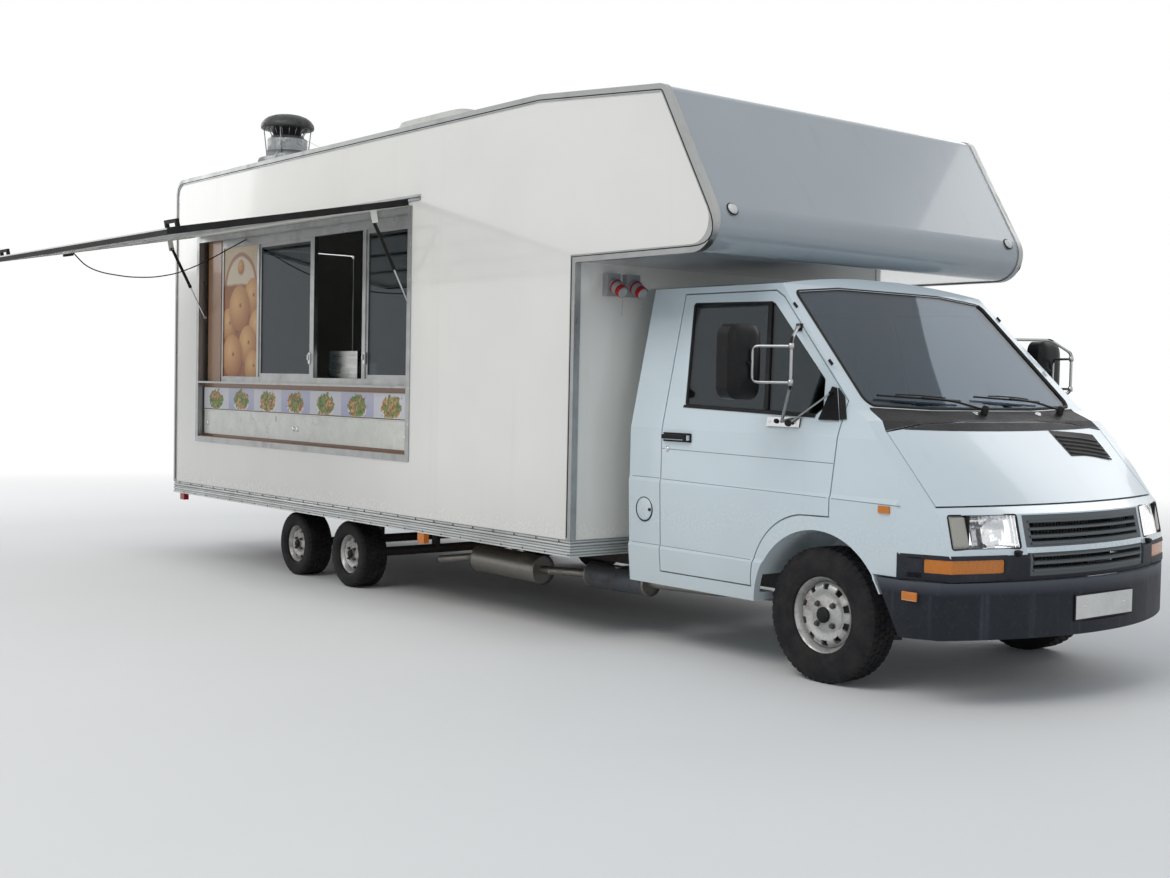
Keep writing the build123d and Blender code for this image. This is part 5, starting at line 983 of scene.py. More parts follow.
# mirror arms in worn chrome over the CAD tubes, their clamps, foot plate, screws and knobs, and the pillar clips
POLE = ((-0.212, 0.843, 1.660), (-0.060, 1.010, 1.660), (0.0, 1.120, 1.590), (0.0, 1.120, 1.380),
        (-0.215, 0.941, 1.211))
BRACKET = ((0.0, 1.120, 1.560), (-0.165, 1.200, 1.560), (-0.165, 1.200, 1.395), (0.0, 1.120, 1.395))
STAY = ((-0.150, 0.950, 1.211), (0.066, 0.920, 1.352))
FOOT_PLATE = ((-0.311, 1.188), (-0.101, 1.188), (-0.101, 1.234), (-0.311, 1.234))
for side, word in SIDES:
    leaf = f"door_{word}_leaf"
    for name, points, radius, corner in (("pole", POLE, 0.0078, 0.030), ("bracket", BRACKET, 0.0068, 0.030),
                                         ("stay", STAY, 0.0048, 0.0)):
        run = [(x, side * y, z) for x, y, z in points]
        tube_piece(f"mirror_{word}_{name}", run, radius, "black_plastic", "mirror_tube", leaf, corner=corner, sides=4)
    for z in (1.560, 1.395):
        turned(f"mirror_{word}_clamp_{int(z * 1000)}", [(0.0085, -0.014), (0.0125, -0.012), (0.0125, 0.012),
               (0.0085, 0.014)], (0.0, side * 1.120, z), (0, 0, 1), 20, "black_plastic", "mirror_tube", body=leaf)
    sheet_on_side(f"mirror_{word}_foot_plate", side, FOOT_PLATE, 0.0095, 0.002, "black_plastic", "chrome", leaf)
    pile = Pile()
    for x in (-0.290, -0.122):
        pile.dome(on_side(side, x, 1.211, 0.0115), (0, side, 0.2), 0.006, 0.003, 12)
    pile.piece(f"mirror_{word}_foot_screws", "black_plastic", "strut_steel", smooth=True, body=leaf)
    pile = Pile().lathe([(0.0, 0.012), (0.013, 0.011), (0.016, 0.004), (0.016, -0.006)],
                        (-0.170, side * 0.946, 1.207), (0.2, side, 0), 20)
    pile.lathe([(0.0, 0.010), (0.009, 0.009), (0.011, 0.004), (0.011, -0.006)],
               (-0.246, side * 0.945, 1.214), (-0.2, side, 0), 20)
    pile.piece(f"mirror_{word}_foot_knob", "black_plastic", smooth=True, body=leaf)
    # two clips on the pillar by the windscreen
    pile = Pile()
    turn = Matrix.Rotation(math.radians(45.0), 4, "Y")
    for x, z in ((-0.262, 1.768), (0.020, 1.494)):
        middle = Vector(on_side(side, x, z, 0.002))
        half = Vector((0.016, 0.004, 0.007))
        pile.box(middle - half, middle + half, turn, middle)
    pile.piece(f"pillar_clips_{word}", "black_plastic", bevel=0.002)

# round fuel flap behind the right door
flap_at = on_side(-1, -1.168, 0.725)
turned("fuel_flap", [(0.0, 0.004), (0.052, 0.004), (0.058, 0.002), (0.060, -0.002)], flap_at, (0, -1, 0), 40,
       "cab_paint")
pile = Pile().lathe([(0.060, 0.0), (0.060, 0.003), (0.064, 0.003), (0.066, 0.0)], flap_at, (0, -1, 0), 40)
pile.box((-1.128, -0.952, 0.718), (-1.112, -0.958, 0.732))
pile.piece("fuel_flap_ring", "black_plastic", "seal_rubber")

# Windscreen: wipers and washer jets

CAB_HALF = 0.953
SCREEN_FOOT = (0.248, 1.278)
SCREEN_HEAD = (-0.356, 1.879)


def on_screen(y, z, out=0.0):
    """A point on the windscreen at a width and a height, or proud of it."""
    share = (y / CAB_HALF) ** 2
    t = (z - SCREEN_FOOT[1]) / (SCREEN_HEAD[1] - SCREEN_FOOT[1])
    x = SCREEN_FOOT[0] + t * (SCREEN_HEAD[0] - SCREEN_FOOT[0]) - share * (0.045 + t * (0.027 - 0.045))
    return (x + 0.707 * out, y, z + 0.707 * out)


for name, pivot_y, tip_y in (("right", -0.05, -0.72), ("left", 0.62, -0.02)):
    pivot = on_screen(pivot_y, 1.262, 0.030)
    elbow = on_screen(pivot_y + 0.30 * (tip_y - pivot_y), 1.300, 0.034)
    wrist = on_screen(pivot_y + 0.58 * (tip_y - pivot_y), 1.322, 0.022)
    tube_piece(f"wiper_{name}_arm", (pivot, elbow, wrist), 0.0055, "black_plastic", corner=0.05)
    foot = pivot_y + 0.16 * (tip_y - pivot_y)
    blade = [on_screen(foot + (tip_y - foot) * k / 10, 1.316 + 0.022 * k / 10, 0.011) for k in range(11)]
    tube_piece(f"wiper_{name}_blade", blade, 0.0050, "black_plastic", "seal_rubber")
    bridge = [on_screen(foot + (tip_y - foot) * k / 10, 1.318 + 0.022 * k / 10,
                        0.014 + 0.012 * math.sin(math.pi * k / 10)) for k in range(2, 9)]
    tube_piece(f"wiper_{name}_bridge", bridge, 0.0035, "black_plastic")
    turned(f"wiper_{name}_cap", [(0.0, 0.022), (0.012, 0.021), (0.017, 0.014), (0.018, -0.020)], pivot,
           (0.35, 0, 0.94), 20, "black_plastic")

pile = Pile()
for y in (-0.10, 0.42):
    pile.lathe([(0.0, 0.012), (0.012, 0.011), (0.019, 0.005), (0.021, 0.0)], (0.262, y, 1.262), (0.3, 0, 0.95), 20)
pile.piece("washer_jets", "alu_trim", "strut_steel", smooth=True)

# dark apron along the bonnet's rear edge, with the air louvre at the left


def bonnet_z(x, y):
    """Height of the bonnet's outside, taken from the CAD mesh by a ray from above."""
    hit, place, _, _ = nodes["bonnet"].ray_cast(at(x, y, 3.0), (0, 0, -1))
    return place.z if hit else None


def on_bonnet(name, columns, lift=0.0015):
    """A sheet that lies on the bonnet between two edges, given per column as y, rear x and front x."""
    points, rows = [], 8
    for y, rear, front in columns:
        for k in range(rows + 1):
            x = rear + (front - rear) * k / rows
            z = bonnet_z(x, y)
            points.append(at(x, y, (z if z is not None else bonnet_z(x + 0.02, y) or 1.2) + lift))
    faces = [(a, d, c, b) for a, b, c, d in grid_faces(len(columns) - 1, rows)]
    mesh_piece(name, points, faces, "black_plastic", body="bonnet_lid", smooth=True)


def bonnet_rear(y):
    """The bonnet's rear edge at a width."""
    for k in range(60):
        x = 0.26 + 0.005 * k
        if bonnet_z(x, y) is not None:
            return x + 0.003
    return 0.34


apron = []
for k in range(41):
    y = -0.80 + 1.60 * k / 40
    rear = bonnet_rear(y)
    apron.append((y, rear, max(rear + 0.004, 0.392 - 0.05 * (abs(y) / 0.8) ** 2)))
on_bonnet("cowl_apron", apron)
louvre = [(0.335 + 0.40 * k / 16, 0.385 - 0.004 * k / 16, 0.518 - 0.03 * k / 16) for k in range(17)]
on_bonnet("louvre_base", louvre, 0.0022)
pile = Pile()
for row in range(5):
    x = 0.408 + 0.021 * row
    for k in range(16):
        ends = [0.355 + 0.36 * i / 16 for i in (k, k + 1)]
        if bonnet_z(x, ends[0]) is None or bonnet_z(x + 0.012, ends[1]) is None:
            continue
        low = [at(x, y, bonnet_z(x, y) + 0.002) for y in ends]
        high, foot = ([at(x + 0.014, y, bonnet_z(x + 0.012, y) + rise) for y in ends[::-1]]
                      for rise in (0.0095, 0.002))
        pile.add(low + high + foot, [(0, 1, 2, 3), (3, 2, 4, 5)])
pile.piece("louvre_slats", "black_plastic", body="bonnet_lid")

# Front: headlamps, indicators' surrounds, grille depth, plate and bumper fittings


# the nose in side view: x and z at the mid-plane, and how far it falls back at the side
NOSE_SECTION = ((0.884, 0.640, 0.209), (0.838, 0.838, 0.209), (0.756, 0.867, 0.153))


def nose_x(y, z):
    """The cab's nose surface ahead of the bonnet, from its side view and its curve across."""
    share = (y / CAB_HALF) ** 2
    corner = 0.690 - 0.210 * (abs(y) - 0.870) / 0.083 if abs(y) > 0.870 else 9.0
    for (x1, z1, b1), (x0, z0, b0) in zip(NOSE_SECTION[1:], NOSE_SECTION):
        if z <= z1:
            t = max(0.0, (z - z0) / (z1 - z0))
            return min(corner, x0 + t * (x1 - x0) - share * (b0 + t * (b1 - b0)))
    return min(corner, NOSE_SECTION[-1][0] - share * NOSE_SECTION[-1][2])


def nose_panel(name, side, y_limits, z_limits, deep, slot, material=None, bulge=0.0, steps=14, edge=0.0):
    """A panel that follows the nose at a depth, with a soft bulge and a turned-back edge."""
    points = []
    for i in range(steps + 1):
        for j in range(steps + 1):
            u, v = i / steps, j / steps
            y = side * (y_limits[0] + (y_limits[1] - y_limits[0]) * u)
            z = z_limits[0] + (z_limits[1] - z_limits[0]) * v
            rise = bulge * (1 - (2 * u - 1) ** 4) * (1 - (2 * v - 1) ** 4)
            back = edge if i in (0, steps) or j in (0, steps) else 0.0
            points.append(at(nose_x(y, z) - deep + rise - back, y, z))
    return mesh_piece(name, points, grid_faces(steps, steps, side > 0), slot, material, smooth=True)


# the four strips of the indicator's frame: width, height and steps
INDICATOR_FRAME = (((0.456, 0.602), (0.550, 0.664), 16), ((0.575, 0.948), (0.644, 0.664), 24),
                   ((0.575, 0.948), (0.550, 0.586), 24), ((0.9035, 0.948), (0.552, 0.662), 10))
# the seals round a lamp and an indicator: name, width, height, radius and corner
NOSE_SEALS = (("lamp", (0.500, 0.845), (0.690, 0.836), 0.0035, 0.012),
              ("indicator", (0.600, 0.905), (0.585, 0.645), 0.0028, 0.010))

for side, word in SIDES:
    # lamp bucket, deep bowl reflector with its bulb, corner lens and the clear cover
    bucket = nose_panel(f"lamp_{word}_housing", side, (0.5005, 0.8445), (0.6905, 0.8355), 0.045,
                        "lamp_clear", "silver_reflector", edge=-0.044)
    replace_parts(bucket, "headlights")
    middle, look = (nose_x(0.62, 0.763) - 0.010, side * 0.618, 0.763), (1, side * 0.18, 0)
    turned(f"lamp_{word}_bowl", [(0.070, 0.0), (0.062, -0.012), (0.050, -0.024), (0.034, -0.033), (0.012, -0.037)],
           middle, look, 40, "lamp_clear", "silver_reflector")
    turned(f"lamp_{word}_bulb", [(0.0, -0.006), (0.010, -0.008), (0.012, -0.020), (0.010, -0.036)], middle, look, 20,
           "lamp_clear", "lamp_glow")
    nose_panel(f"lamp_{word}_cover", side, (0.501, 0.752), (0.691, 0.835), 0.001, "lamp_clear", bulge=0.003)
    nose_panel(f"lamp_{word}_corner", side, (0.760, 0.844), (0.691, 0.835), 0.001, "lamp_clear", "beige_lens",
               bulge=0.003, edge=0.02)
    x = nose_x(0.756, 0.76)
    boxed(f"lamp_{word}_rib", (x - 0.045, side * 0.752, 0.691), (x - 0.001, side * 0.760, 0.835), "black_plastic")
    for name, (y0, y1), (z0, z1), radius, corner in NOSE_SEALS:
        ring = [(nose_x(y, z) + 0.0005, side * y, z) for y, z in ((y0, z0), (y1, z0), (y1, z1), (y0, z1))]
        tube_piece(f"{name}_{word}_seal", ring, radius, "black_plastic", "seal_rubber", cyclic=True, corner=corner)
    # washer nozzle under the lamp, and the amber marker at the bumper's corner
    pile = Pile()
    foot = (nose_x(0.53, 0.672) - 0.004, side * 0.53, 0.668)
    pile.lathe([(0.0, 0.030), (0.010, 0.029), (0.014, 0.020), (0.015, 0.0)], foot, (1, 0, 0.15), 16)
    pile.box((foot[0] + 0.008, side * 0.512, 0.672), (foot[0] + 0.026, side * 0.548, 0.680))
    pile.piece(f"lamp_washer_{word}", "black_plastic", bevel=0.002)
    boxed(f"bumper_marker_{word}", (0.535, side * 0.957, 0.464), (0.616, side * 0.9665, 0.504), "lamp_amber",
          bevel=0.004)

for side, word in SIDES:
    # dark frame round the indicator, joined to the lower grille
    for number, (ys, zs, steps) in enumerate(INDICATOR_FRAME, 1):
        nose_panel(f"indicator_{word}_frame_{number}", side, ys, zs, -0.0035, "grey_plastic", steps=steps, edge=0.005)
# painted bar between the upper and the lower grille, and the dark strip under the lower one
nose_panel("grille_bar", 1, (-0.480, 0.480), (0.668, 0.692), -0.008, "cab_paint", steps=30, edge=0.012)
nose_panel("grille_foot", 1, (-0.60, 0.60), (0.5475, 0.566), -0.0045, "grey_plastic", steps=30, edge=0.006)

# grille: deep slats and a mesh behind them
pile = Pile()
for z in (0.803, 0.770, 0.738, 0.707, 0.655, 0.623, 0.590):
    for k in range(24):
        y0, y1 = -0.44 + 0.88 * k / 24, -0.44 + 0.88 * (k + 1) / 24
        x0, x1 = nose_x(y0, z), nose_x(y1, z)
        low, high = z - 0.0035, z + 0.0035
        corners = ((x0, y0, low), (x1, y1, low), (x1, y1, high), (x0, y0, high))
        points = [at(x + push, y, h - drop) for push, drop in ((0.004, 0.0), (-0.03, 0.004)) for x, y, h in corners]
        pile.add(points, [(0, 1, 2, 3), (3, 2, 6, 7), (1, 0, 4, 5)])
pile.piece("grille_slats", "grey_plastic", "slat_grey")
pile = Pile()
for z_low, z_high in ((0.575, 0.665), (0.700, 0.815)):
    for k in range(40):
        y = -0.43 + 0.86 * k / 39
        x = nose_x(y, (z_low + z_high) / 2) - 0.050
        pile.box((x, y - 0.0012, z_low), (x + 0.004, y + 0.0012, z_high))
pile.piece("grille_mesh", "black_plastic")
boxed("radiator", (0.66, -0.45, 0.57), (0.668, 0.45, 0.82), "black_plastic", "radiator_fins")

# blank number plates, front and rear, each on its carrier with two screws
for name, x, y, z, face in (("front", 0.919, 0.0, 0.419, 1), ("rear", -6.443, -0.62, 0.83, -1)):
    boxed(f"plate_{name}_carrier", (x, y - 0.238, z - 0.060), (x + face * 0.004, y + 0.238, z + 0.060),
          "black_plastic", bevel=0.002)
    boxed(f"plate_{name}", (x + face * 0.004, y - 0.230, z - 0.0525), (x + face * 0.0055, y + 0.230, z + 0.0525),
          "grey_plastic", "plate_white", bevel=0.0006)
    pile = Pile()
    for offset in (-0.16, 0.16):
        pile.dome((x + face * 0.0055, y + offset, z), (face, 0, 0), 0.006, 0.003, 12)
    pile.piece(f"plate_{name}_screws", "alu_trim", "strut_steel", smooth=True)

# Kitchen body: trim insert, rivets, marker lamps and fittings

SKIRT_RIVET_PITCH = 0.2
BODY_FACE = 1.2265    # where the rivets' feet lie, from the mid-plane
BODY_OUTLINE = ((-6.435, 0.560, 0.0), (-6.435, 2.885, 0.12), (-1.772, 2.913, 0.4), (-0.775, 2.832, 0.06),
                (-0.302, 2.012, 0.145), (-1.44, 2.010, 0.01), (-1.44, 0.560, 0.0))


def inset_outline(points, depth, y):
    """The body's side outline moved inward, with its corners rounded, as points at one y."""
    flat = [Vector((x, z)) for x, z, _ in points]
    moved = []
    for i, (x, z, radius) in enumerate(points):
        ahead = (flat[i + 1] - flat[i]).normalized() if i + 1 < len(flat) else None
        back = (flat[i] - flat[i - 1]).normalized() if i else None
        normals = [Vector((d.y, -d.x)) for d in (back, ahead) if d is not None]
        if len(normals) == 2:
            bisector = (normals[0] + normals[1]).normalized()
            shift = bisector * (depth / bisector.dot(normals[0]))
        else:
            shift = normals[0] * depth
        moved.append((flat[i] + shift, max(0.0, radius - depth)))
    result = []
    for i, (here, radius) in enumerate(moved):
        if not 0 < i < len(moved) - 1 or radius < 0.004:
            result.append((here.x, y, here.y))
            continue
        before, after = moved[i - 1][0], moved[i + 1][0]
        a, b = (before - here).normalized(), (after - here).normalized()
        half = a.angle(b) / 2
        cut = radius / math.tan(half)
        result += [(p.x, y, p.y) for p in bend(here + a * cut, here, here + b * cut, 8)]
    return result


for side, word in SIDES:
    tube_piece(f"trim_insert_{word}", inset_outline(BODY_OUTLINE, 0.024, side * 1.2288), 0.0032,
               "black_plastic", "seal_rubber", sides=2)
    pile = Pile()
    for k in range(25):
        for x, z in ((-6.33, 0.5375), (-6.25, 0.4690)):
            pile.dome((x + SKIRT_RIVET_PITCH * k, side * BODY_FACE, z), (0, side, 0), 0.0065, 0.003)
    pile.piece(f"skirt_rivets_{word}", "alu_trim", "engine_iron", smooth=True)
    # marker lamp high on the overcab's slanted face
    marker_at, marker_axis = (-0.4165, side * 1.10, 2.2105), (0.866, 0, 0.5)
    turned(f"overcab_marker_{word}", [(0.0, 0.016), (0.020, 0.014), (0.028, 0.006), (0.029, 0.0)], marker_at,
           marker_axis, 28, "lamp_clear", "white_plastic")
    turned(f"overcab_marker_{word}_bezel", [(0.029, 0.0), (0.029, 0.004), (0.034, 0.004), (0.035, 0.0)], marker_at,
           marker_axis, 28, "black_plastic")

# screws round the serving window's frame
pile = Pile()
for k in range(11):
    x = -6.02 + k * 0.297
    for z in (0.885, 2.416):
        pile.dome((x, -1.229, z), (0, -1, 0), 0.005, 0.002)
for k in range(1, 7):
    for x in (-6.04, -3.03):
        pile.dome((x, -1.229, 0.885 + k * 0.2187), (0, -1, 0), 0.005, 0.002)
pile.piece("window_frame_screws", "alu_trim", "strut_steel", smooth=True)

# prints: poster and strip of pictures, a little proud of their boards
boxed("poster_print", (-5.711, -1.1612, 1.378), (-5.168, -1.1601, 2.328), "board_print", "poster")
boxed("picture_strip", (-5.986, -1.1858, 1.133), (-3.084, -1.1851, 1.287), "board_print", "strip_print")

# latches on the sliding sashes and clips on the flap
pile = Pile()
for x in (-4.386, -3.664):
    pile.box((x, -1.176, 1.470), (x + 0.022, -1.1685, 1.545))
    pile.box((x + 0.006, -1.188, 1.495), (x + 0.016, -1.176, 1.535))
pile.piece("sash_latches", "alu_trim", "strut_steel", bevel=0.002)
pile = Pile()
for x, z in ((-4.560, 1.020), (-4.500, 1.020), (-3.120, 1.015), (-5.92, 1.02)):
    pile.lathe([(0.0, 0.007), (0.011, 0.0065), (0.015, 0.003), (0.016, 0.0)], (x, -1.1855, z), (0, -1, 0), 20)
pile.piece("flap_clips", "counter_white", "strut_steel", smooth=True, body="flap")

# Hatch: hinge knuckles, rivets, edge, handles, ribs, lamp, and collars on the struts

HATCH_DROOP = math.radians(11.0)
HATCH_OUT = Vector((0, -math.cos(HATCH_DROOP), -math.sin(HATCH_DROOP)))
HATCH_IN = Vector((0, math.sin(HATCH_DROOP), -math.cos(HATCH_DROOP)))
HATCH_HINGE = Vector((0, -1.240, 2.436))
KNUCKLE_PITCH, HATCH_RIVET_PITCH = 0.05, 0.1525


def on_hatch(x, v, w):
    """A point of the open hatch: along it, out from its hinge, and toward its inner face."""
    return tuple(HATCH_HINGE + Vector((x, 0, 0)) + HATCH_OUT * v + HATCH_IN * w)


pile = Pile()
for k in range(60):
    x = -6.03 + k * KNUCKLE_PITCH
    pile.lathe([(0.0061, 0.0), (0.0066, 0.001), (0.0066, 0.044), (0.0061, 0.045)], (x, -1.240, 2.436), (1, 0, 0), 12)
pile.piece("hatch_hinge_knuckles", "alu_trim", smooth=True, body="hatch_lid")
pile = Pile()
for k in range(20):
    for v in (0.034, 1.537):
        pile.dome(on_hatch(-5.98 + k * HATCH_RIVET_PITCH, v, 0.006), HATCH_IN, 0.005, 0.002)
pile.piece("hatch_rivets", "alu_trim", smooth=True, body="hatch_lid")
HATCH_ENDS = (-6.045, -3.025)
EDGE_HALF = 0.0025


def hatch_strip(pile, x, v, w):
    """A bar in the hatch's own directions between two corners."""
    points = [at(*on_hatch(a, b, c)) for a in x for b in v for c in w]
    pile.add(points, BOX_FACES)


pile = Pile()
hatch_strip(pile, (HATCH_ENDS[0] - EDGE_HALF, HATCH_ENDS[1] + EDGE_HALF), (1.5585, 1.5625), (-0.0200, 0.0085))
for end in HATCH_ENDS:
    hatch_strip(pile, (end - EDGE_HALF, end + EDGE_HALF), (0.011, 1.5585), (-0.0305, 0.0085))
hatch_strip(pile, HATCH_ENDS, (1.536, 1.5600), (0.0062, 0.0085))
pile.piece("hatch_edge", "black_plastic", "seal_rubber", body="hatch_lid")
pile = Pile()
for middle in (-5.935, -3.135):
    hatch_strip(pile, (middle - 0.077, middle + 0.077), (1.465, 1.487), (-0.0732, -0.052))
    for end in (middle - 0.077, middle + 0.057):
        hatch_strip(pile, (end, end + 0.020), (1.465, 1.487), (-0.053, -0.0285))
        hatch_strip(pile, (end - 0.008, end + 0.028), (1.456, 1.496), (-0.031, -0.0285))
pile.piece("hatch_handles", "black_plastic", bevel=0.003, body="hatch_lid")
# ribs of the inner lining
pile = Pile()
for v in (0.40, 0.78, 1.16):
    hatch_strip(pile, (-5.98, -3.09), (v - 0.012, v + 0.012), (-0.006, 0.0045))
pile.piece("hatch_ribs", "alu_trim", bevel=0.002, body="hatch_lid")
lamp_face = on_hatch(-4.8, 1.458, 0.036)
turned("hatch_lamp_lens", [(0.0, 0.004), (0.020, 0.003), (0.026, 0.0005)], lamp_face, HATCH_IN, 32, "lamp_clear",
       body="hatch_lid")
turned("hatch_lamp_bezel", [(0.026, -0.002), (0.026, 0.004), (0.031, 0.004), (0.033, 0.001), (0.033, -0.012)],
       lamp_face, HATCH_IN, 32, "black_plastic", body="hatch_lid")
strut_head, strut_foot = Vector((0, -1.455, 2.320)), Vector((0, -1.190, 1.820))
strut_run = (strut_foot - strut_head).normalized()
strut_length = (strut_foot - strut_head).length
pile = Pile()
for x in (-5.984, -3.086):
    mouth = strut_head + strut_run * (0.55 * strut_length) + Vector((x, 0, 0))
    pile.lathe([(0.006, 0.006), (0.0105, 0.006), (0.0125, 0.002), (0.0125, -0.016), (0.011, -0.018)],
               mouth, strut_run, 20)
pile.piece("strut_collars", "black_plastic", smooth=True, body="hatch_strut_tubes")

# Roof: chimney with its stays and hose, clear dome, roof light and guy wires

CHIMNEY_AT = Vector((-5.620, -0.700, 2.8899))
ROOF_RISE = 28.0 / 4663.0
ROOF_Z = 2.885
roof_up = Vector((-ROOF_RISE, 0, 1)).normalized()
lean = Matrix.Rotation(-math.atan(ROOF_RISE), 4, "Y")


def around(turn, x, y=None):
    """A level step away from an axis at a share of a turn, on a circle or an ellipse."""
    return Vector((math.cos(math.tau * turn) * x, math.sin(math.tau * turn) * (y or x), 0))


pile = Pile().lathe([(0.105, 0.384), (0.150, 0.372), (0.196, 0.372), (0.2, 0.380), (0.2, 0.396), (0.194, 0.412),
                     (0.178, 0.434), (0.150, 0.455), (0.110, 0.470), (0.060, 0.478), (0.0, 0.480)],
                    CHIMNEY_AT, roof_up, 64)
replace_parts(pile.piece("chimney_cap", "chimney_metal", smooth=True), "chimney")
turned("chimney_drum", [(0.150, 0.165), (0.150, 0.196), (0.155, 0.199), (0.155, 0.207), (0.150, 0.210), (0.150, 0.286),
       (0.146, 0.294), (0.118, 0.296)], CHIMNEY_AT, roof_up, 56, "chimney_metal", "duct_grey")
turned("chimney_neck", [(0.122, 0.290), (0.124, 0.304), (0.124, 0.316), (0.105, 0.320), (0.105, 0.386)], CHIMNEY_AT,
       roof_up, 56, "chimney_metal")
low = CHIMNEY_AT + Vector((-0.190, -0.170, 0.0))
high = CHIMNEY_AT + Vector((0.260, 0.170, 0.170))
fan_box = Pile().box(low, high, lean, CHIMNEY_AT).piece("chimney_fan_box", "chimney_metal", "duct_grey", bevel=0.045)
fan_box.modifiers["edge"].segments = 5
pile = Pile().box(low + Vector((-0.006, -0.006, 0.0)), Vector((high.x + 0.006, high.y + 0.006, CHIMNEY_AT.z + 0.018)),
                  lean, CHIMNEY_AT)
pile.piece("chimney_flange", "chimney_metal", "seal_rubber", bevel=0.004)
pile = Pile()
for k in range(16):
    foot, head = roof_up * 0.312 + around(k / 16, 0.112), roof_up * 0.380 + around(k / 16, 0.150)
    pile.rod(CHIMNEY_AT + foot, CHIMNEY_AT + head, 0.003, 6)
for k in range(4):
    turn = (k + 0.5) / 4
    foot, head = roof_up * 0.160 + around(turn, 0.165, 0.155), roof_up * 0.376 + around(turn, 0.185)
    pile.rod(CHIMNEY_AT + foot, CHIMNEY_AT + head, 0.004, 8)
pile.piece("chimney_stays", "chimney_metal", "duct_grey", smooth=True)
hose = []
for k in range(33):
    a = math.pi * 0.62 * k / 32
    hose.append(CHIMNEY_AT + Vector((0.245 + 0.17 * math.sin(a), 0.02, 0.095 - 0.085 * (1 - math.cos(a)) * 0.62)))
pile = Pile()
for start, end in zip(hose, hose[1:]):
    run = end - start
    pile.lathe([(0.050, 0.0), (0.056, run.length * 0.35), (0.056, run.length * 0.65), (0.050, run.length)],
               start, run, 24)
pile.piece("chimney_hose", "chimney_metal", "duct_grey", smooth=True)
# clear dome over the rear corner, and its ring with screws
dome_at = Vector((-6.130, -0.960, ROOF_Z + 0.305 * ROOF_RISE))
turned("roof_dome", [(0.0, 0.0745), (0.040, 0.0735), (0.080, 0.069), (0.112, 0.059), (0.138, 0.043), (0.152, 0.024),
       (0.156, 0.016)], dome_at, roof_up, 56, "roof_light", "dome_clear")
pile = Pile().lathe([(0.150, 0.018), (0.160, 0.022), (0.169, 0.018), (0.1695, 0.0)], dome_at, roof_up, 56)
for k in range(8):
    pile.dome(dome_at + roof_up * 0.019 + around(k / 8, 0.163), roof_up, 0.005, 0.003)
pile.piece("roof_dome_ring", "roof_light", smooth=True)
# roof light: lid with a stepped, rounded edge and its skirt
light_at = Vector((-3.220, -0.720, ROOF_Z + 3.215 * ROOF_RISE))
pile = Pile().box(light_at + Vector((-0.398, -0.298, 0.0)), light_at + Vector((0.398, 0.298, 0.050)), lean,
                  light_at)
pile.piece("roof_light_frame", "roof_light", "seal_rubber", bevel=0.006)
steps, power = 24, 9
points = []
for i in range(steps + 1):
    for j in range(steps + 1):
        u, v = rounded_square(2 * i / steps - 1, 2 * j / steps - 1, power)
        reach = (abs(u) ** power + abs(v) ** power) ** (1 / power)
        rise = 0.050 + 0.078 * max(0.0, 1 - reach ** 14) ** 0.5
        points.append(at(*(lean @ Vector((0.400 * u, 0.300 * v, rise)) + light_at)))
lid = mesh_piece("roof_light_lid", points, grid_faces(steps, steps), "roof_light", smooth=True)
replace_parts(lid, "roof_lights")

for k, (dx, dy) in enumerate(((0.85, 0.15), (-0.25, 0.80), (0.55, -0.42)), 1):
    top = CHIMNEY_AT + roof_up * 0.31 + Vector((dx, dy, 0)).normalized() * 0.122
    foot = CHIMNEY_AT + Vector((dx, dy, dx * ROOF_RISE + 0.006))
    tube_piece(f"guy_wire_{k}", (tuple(top), tuple(foot)), 0.0016, "strut_steel", sides=1)
    turned(f"guy_foot_{k}", [(0.0, 0.010), (0.010, 0.008), (0.018, 0.003), (0.020, -0.006)],
           foot - Vector((0, 0, 0.006)), (0, 0, 1), 16, "alu_trim")

# Power inlets: red collars and rings, lids and their ties
INLET_AXIS = (0.86, 0, -0.5)
for k, y in enumerate((-0.990, -0.850), 1):
    turned(f"inlet_{k}_collar", [(0.0355, 0.0), (0.038, 0.002), (0.038, 0.012), (0.0355, 0.014)], (-1.388, y, 1.894),
           INLET_AXIS, 28, "inlet_grey", "red_plastic")
    pile = Pile().lathe([(0.0, 0.010), (0.026, 0.009), (0.031, 0.003), (0.0305, -0.004)],
                        (-1.328, y, 1.857), INLET_AXIS, 28)
    pile.box((-1.412, y - 0.008, 1.918), (-1.396, y + 0.008, 1.936))
    pile.piece(f"inlet_{k}_lid", "inlet_grey")
    turned(f"inlet_{k}_ring", [(0.031, 0.0), (0.034, 0.003), (0.034, 0.030), (0.031, 0.033)], (-1.352, y, 1.872),
           INLET_AXIS, 28, "inlet_grey", "red_plastic")
    tie = ((-1.335, y, 1.860), (-1.330, y, 1.800), (-1.332, y, 1.735 + 0.03 * (k - 1)))
    tube_piece(f"inlet_{k}_tie", tie, 0.0025, "inlet_grey", sides=2)

# Exhaust clamps and silencer seams
pile = Pile()
for foot, radius in (((-2.90, -0.75, 0.275), 0.087), ((-2.28, -0.75, 0.268), 0.087),
                     ((-1.85, -0.72, 0.290), 0.072), ((-1.38, -0.70, 0.290), 0.072),
                     ((-2.97, -0.751, 0.274), 0.027), ((-2.20, -0.748, 0.272), 0.027)):
    pile.lathe([(radius - 0.006, -0.008), (radius, -0.005), (radius, 0.005), (radius - 0.006, 0.008)],
               foot, (1, 0, 0), 40)
pile.piece("exhaust_seams", "exhaust_steel", smooth=True)

turned("dark_silencer", [(0.040, -0.009), (0.071, -0.006), (0.0715, 0.0), (0.0715, 0.455), (0.071, 0.461),
       (0.040, 0.464)], (-1.845, -0.72, 0.290), (1, 0.0440, 0), 48, "exhaust_steel", "dark_muffler")

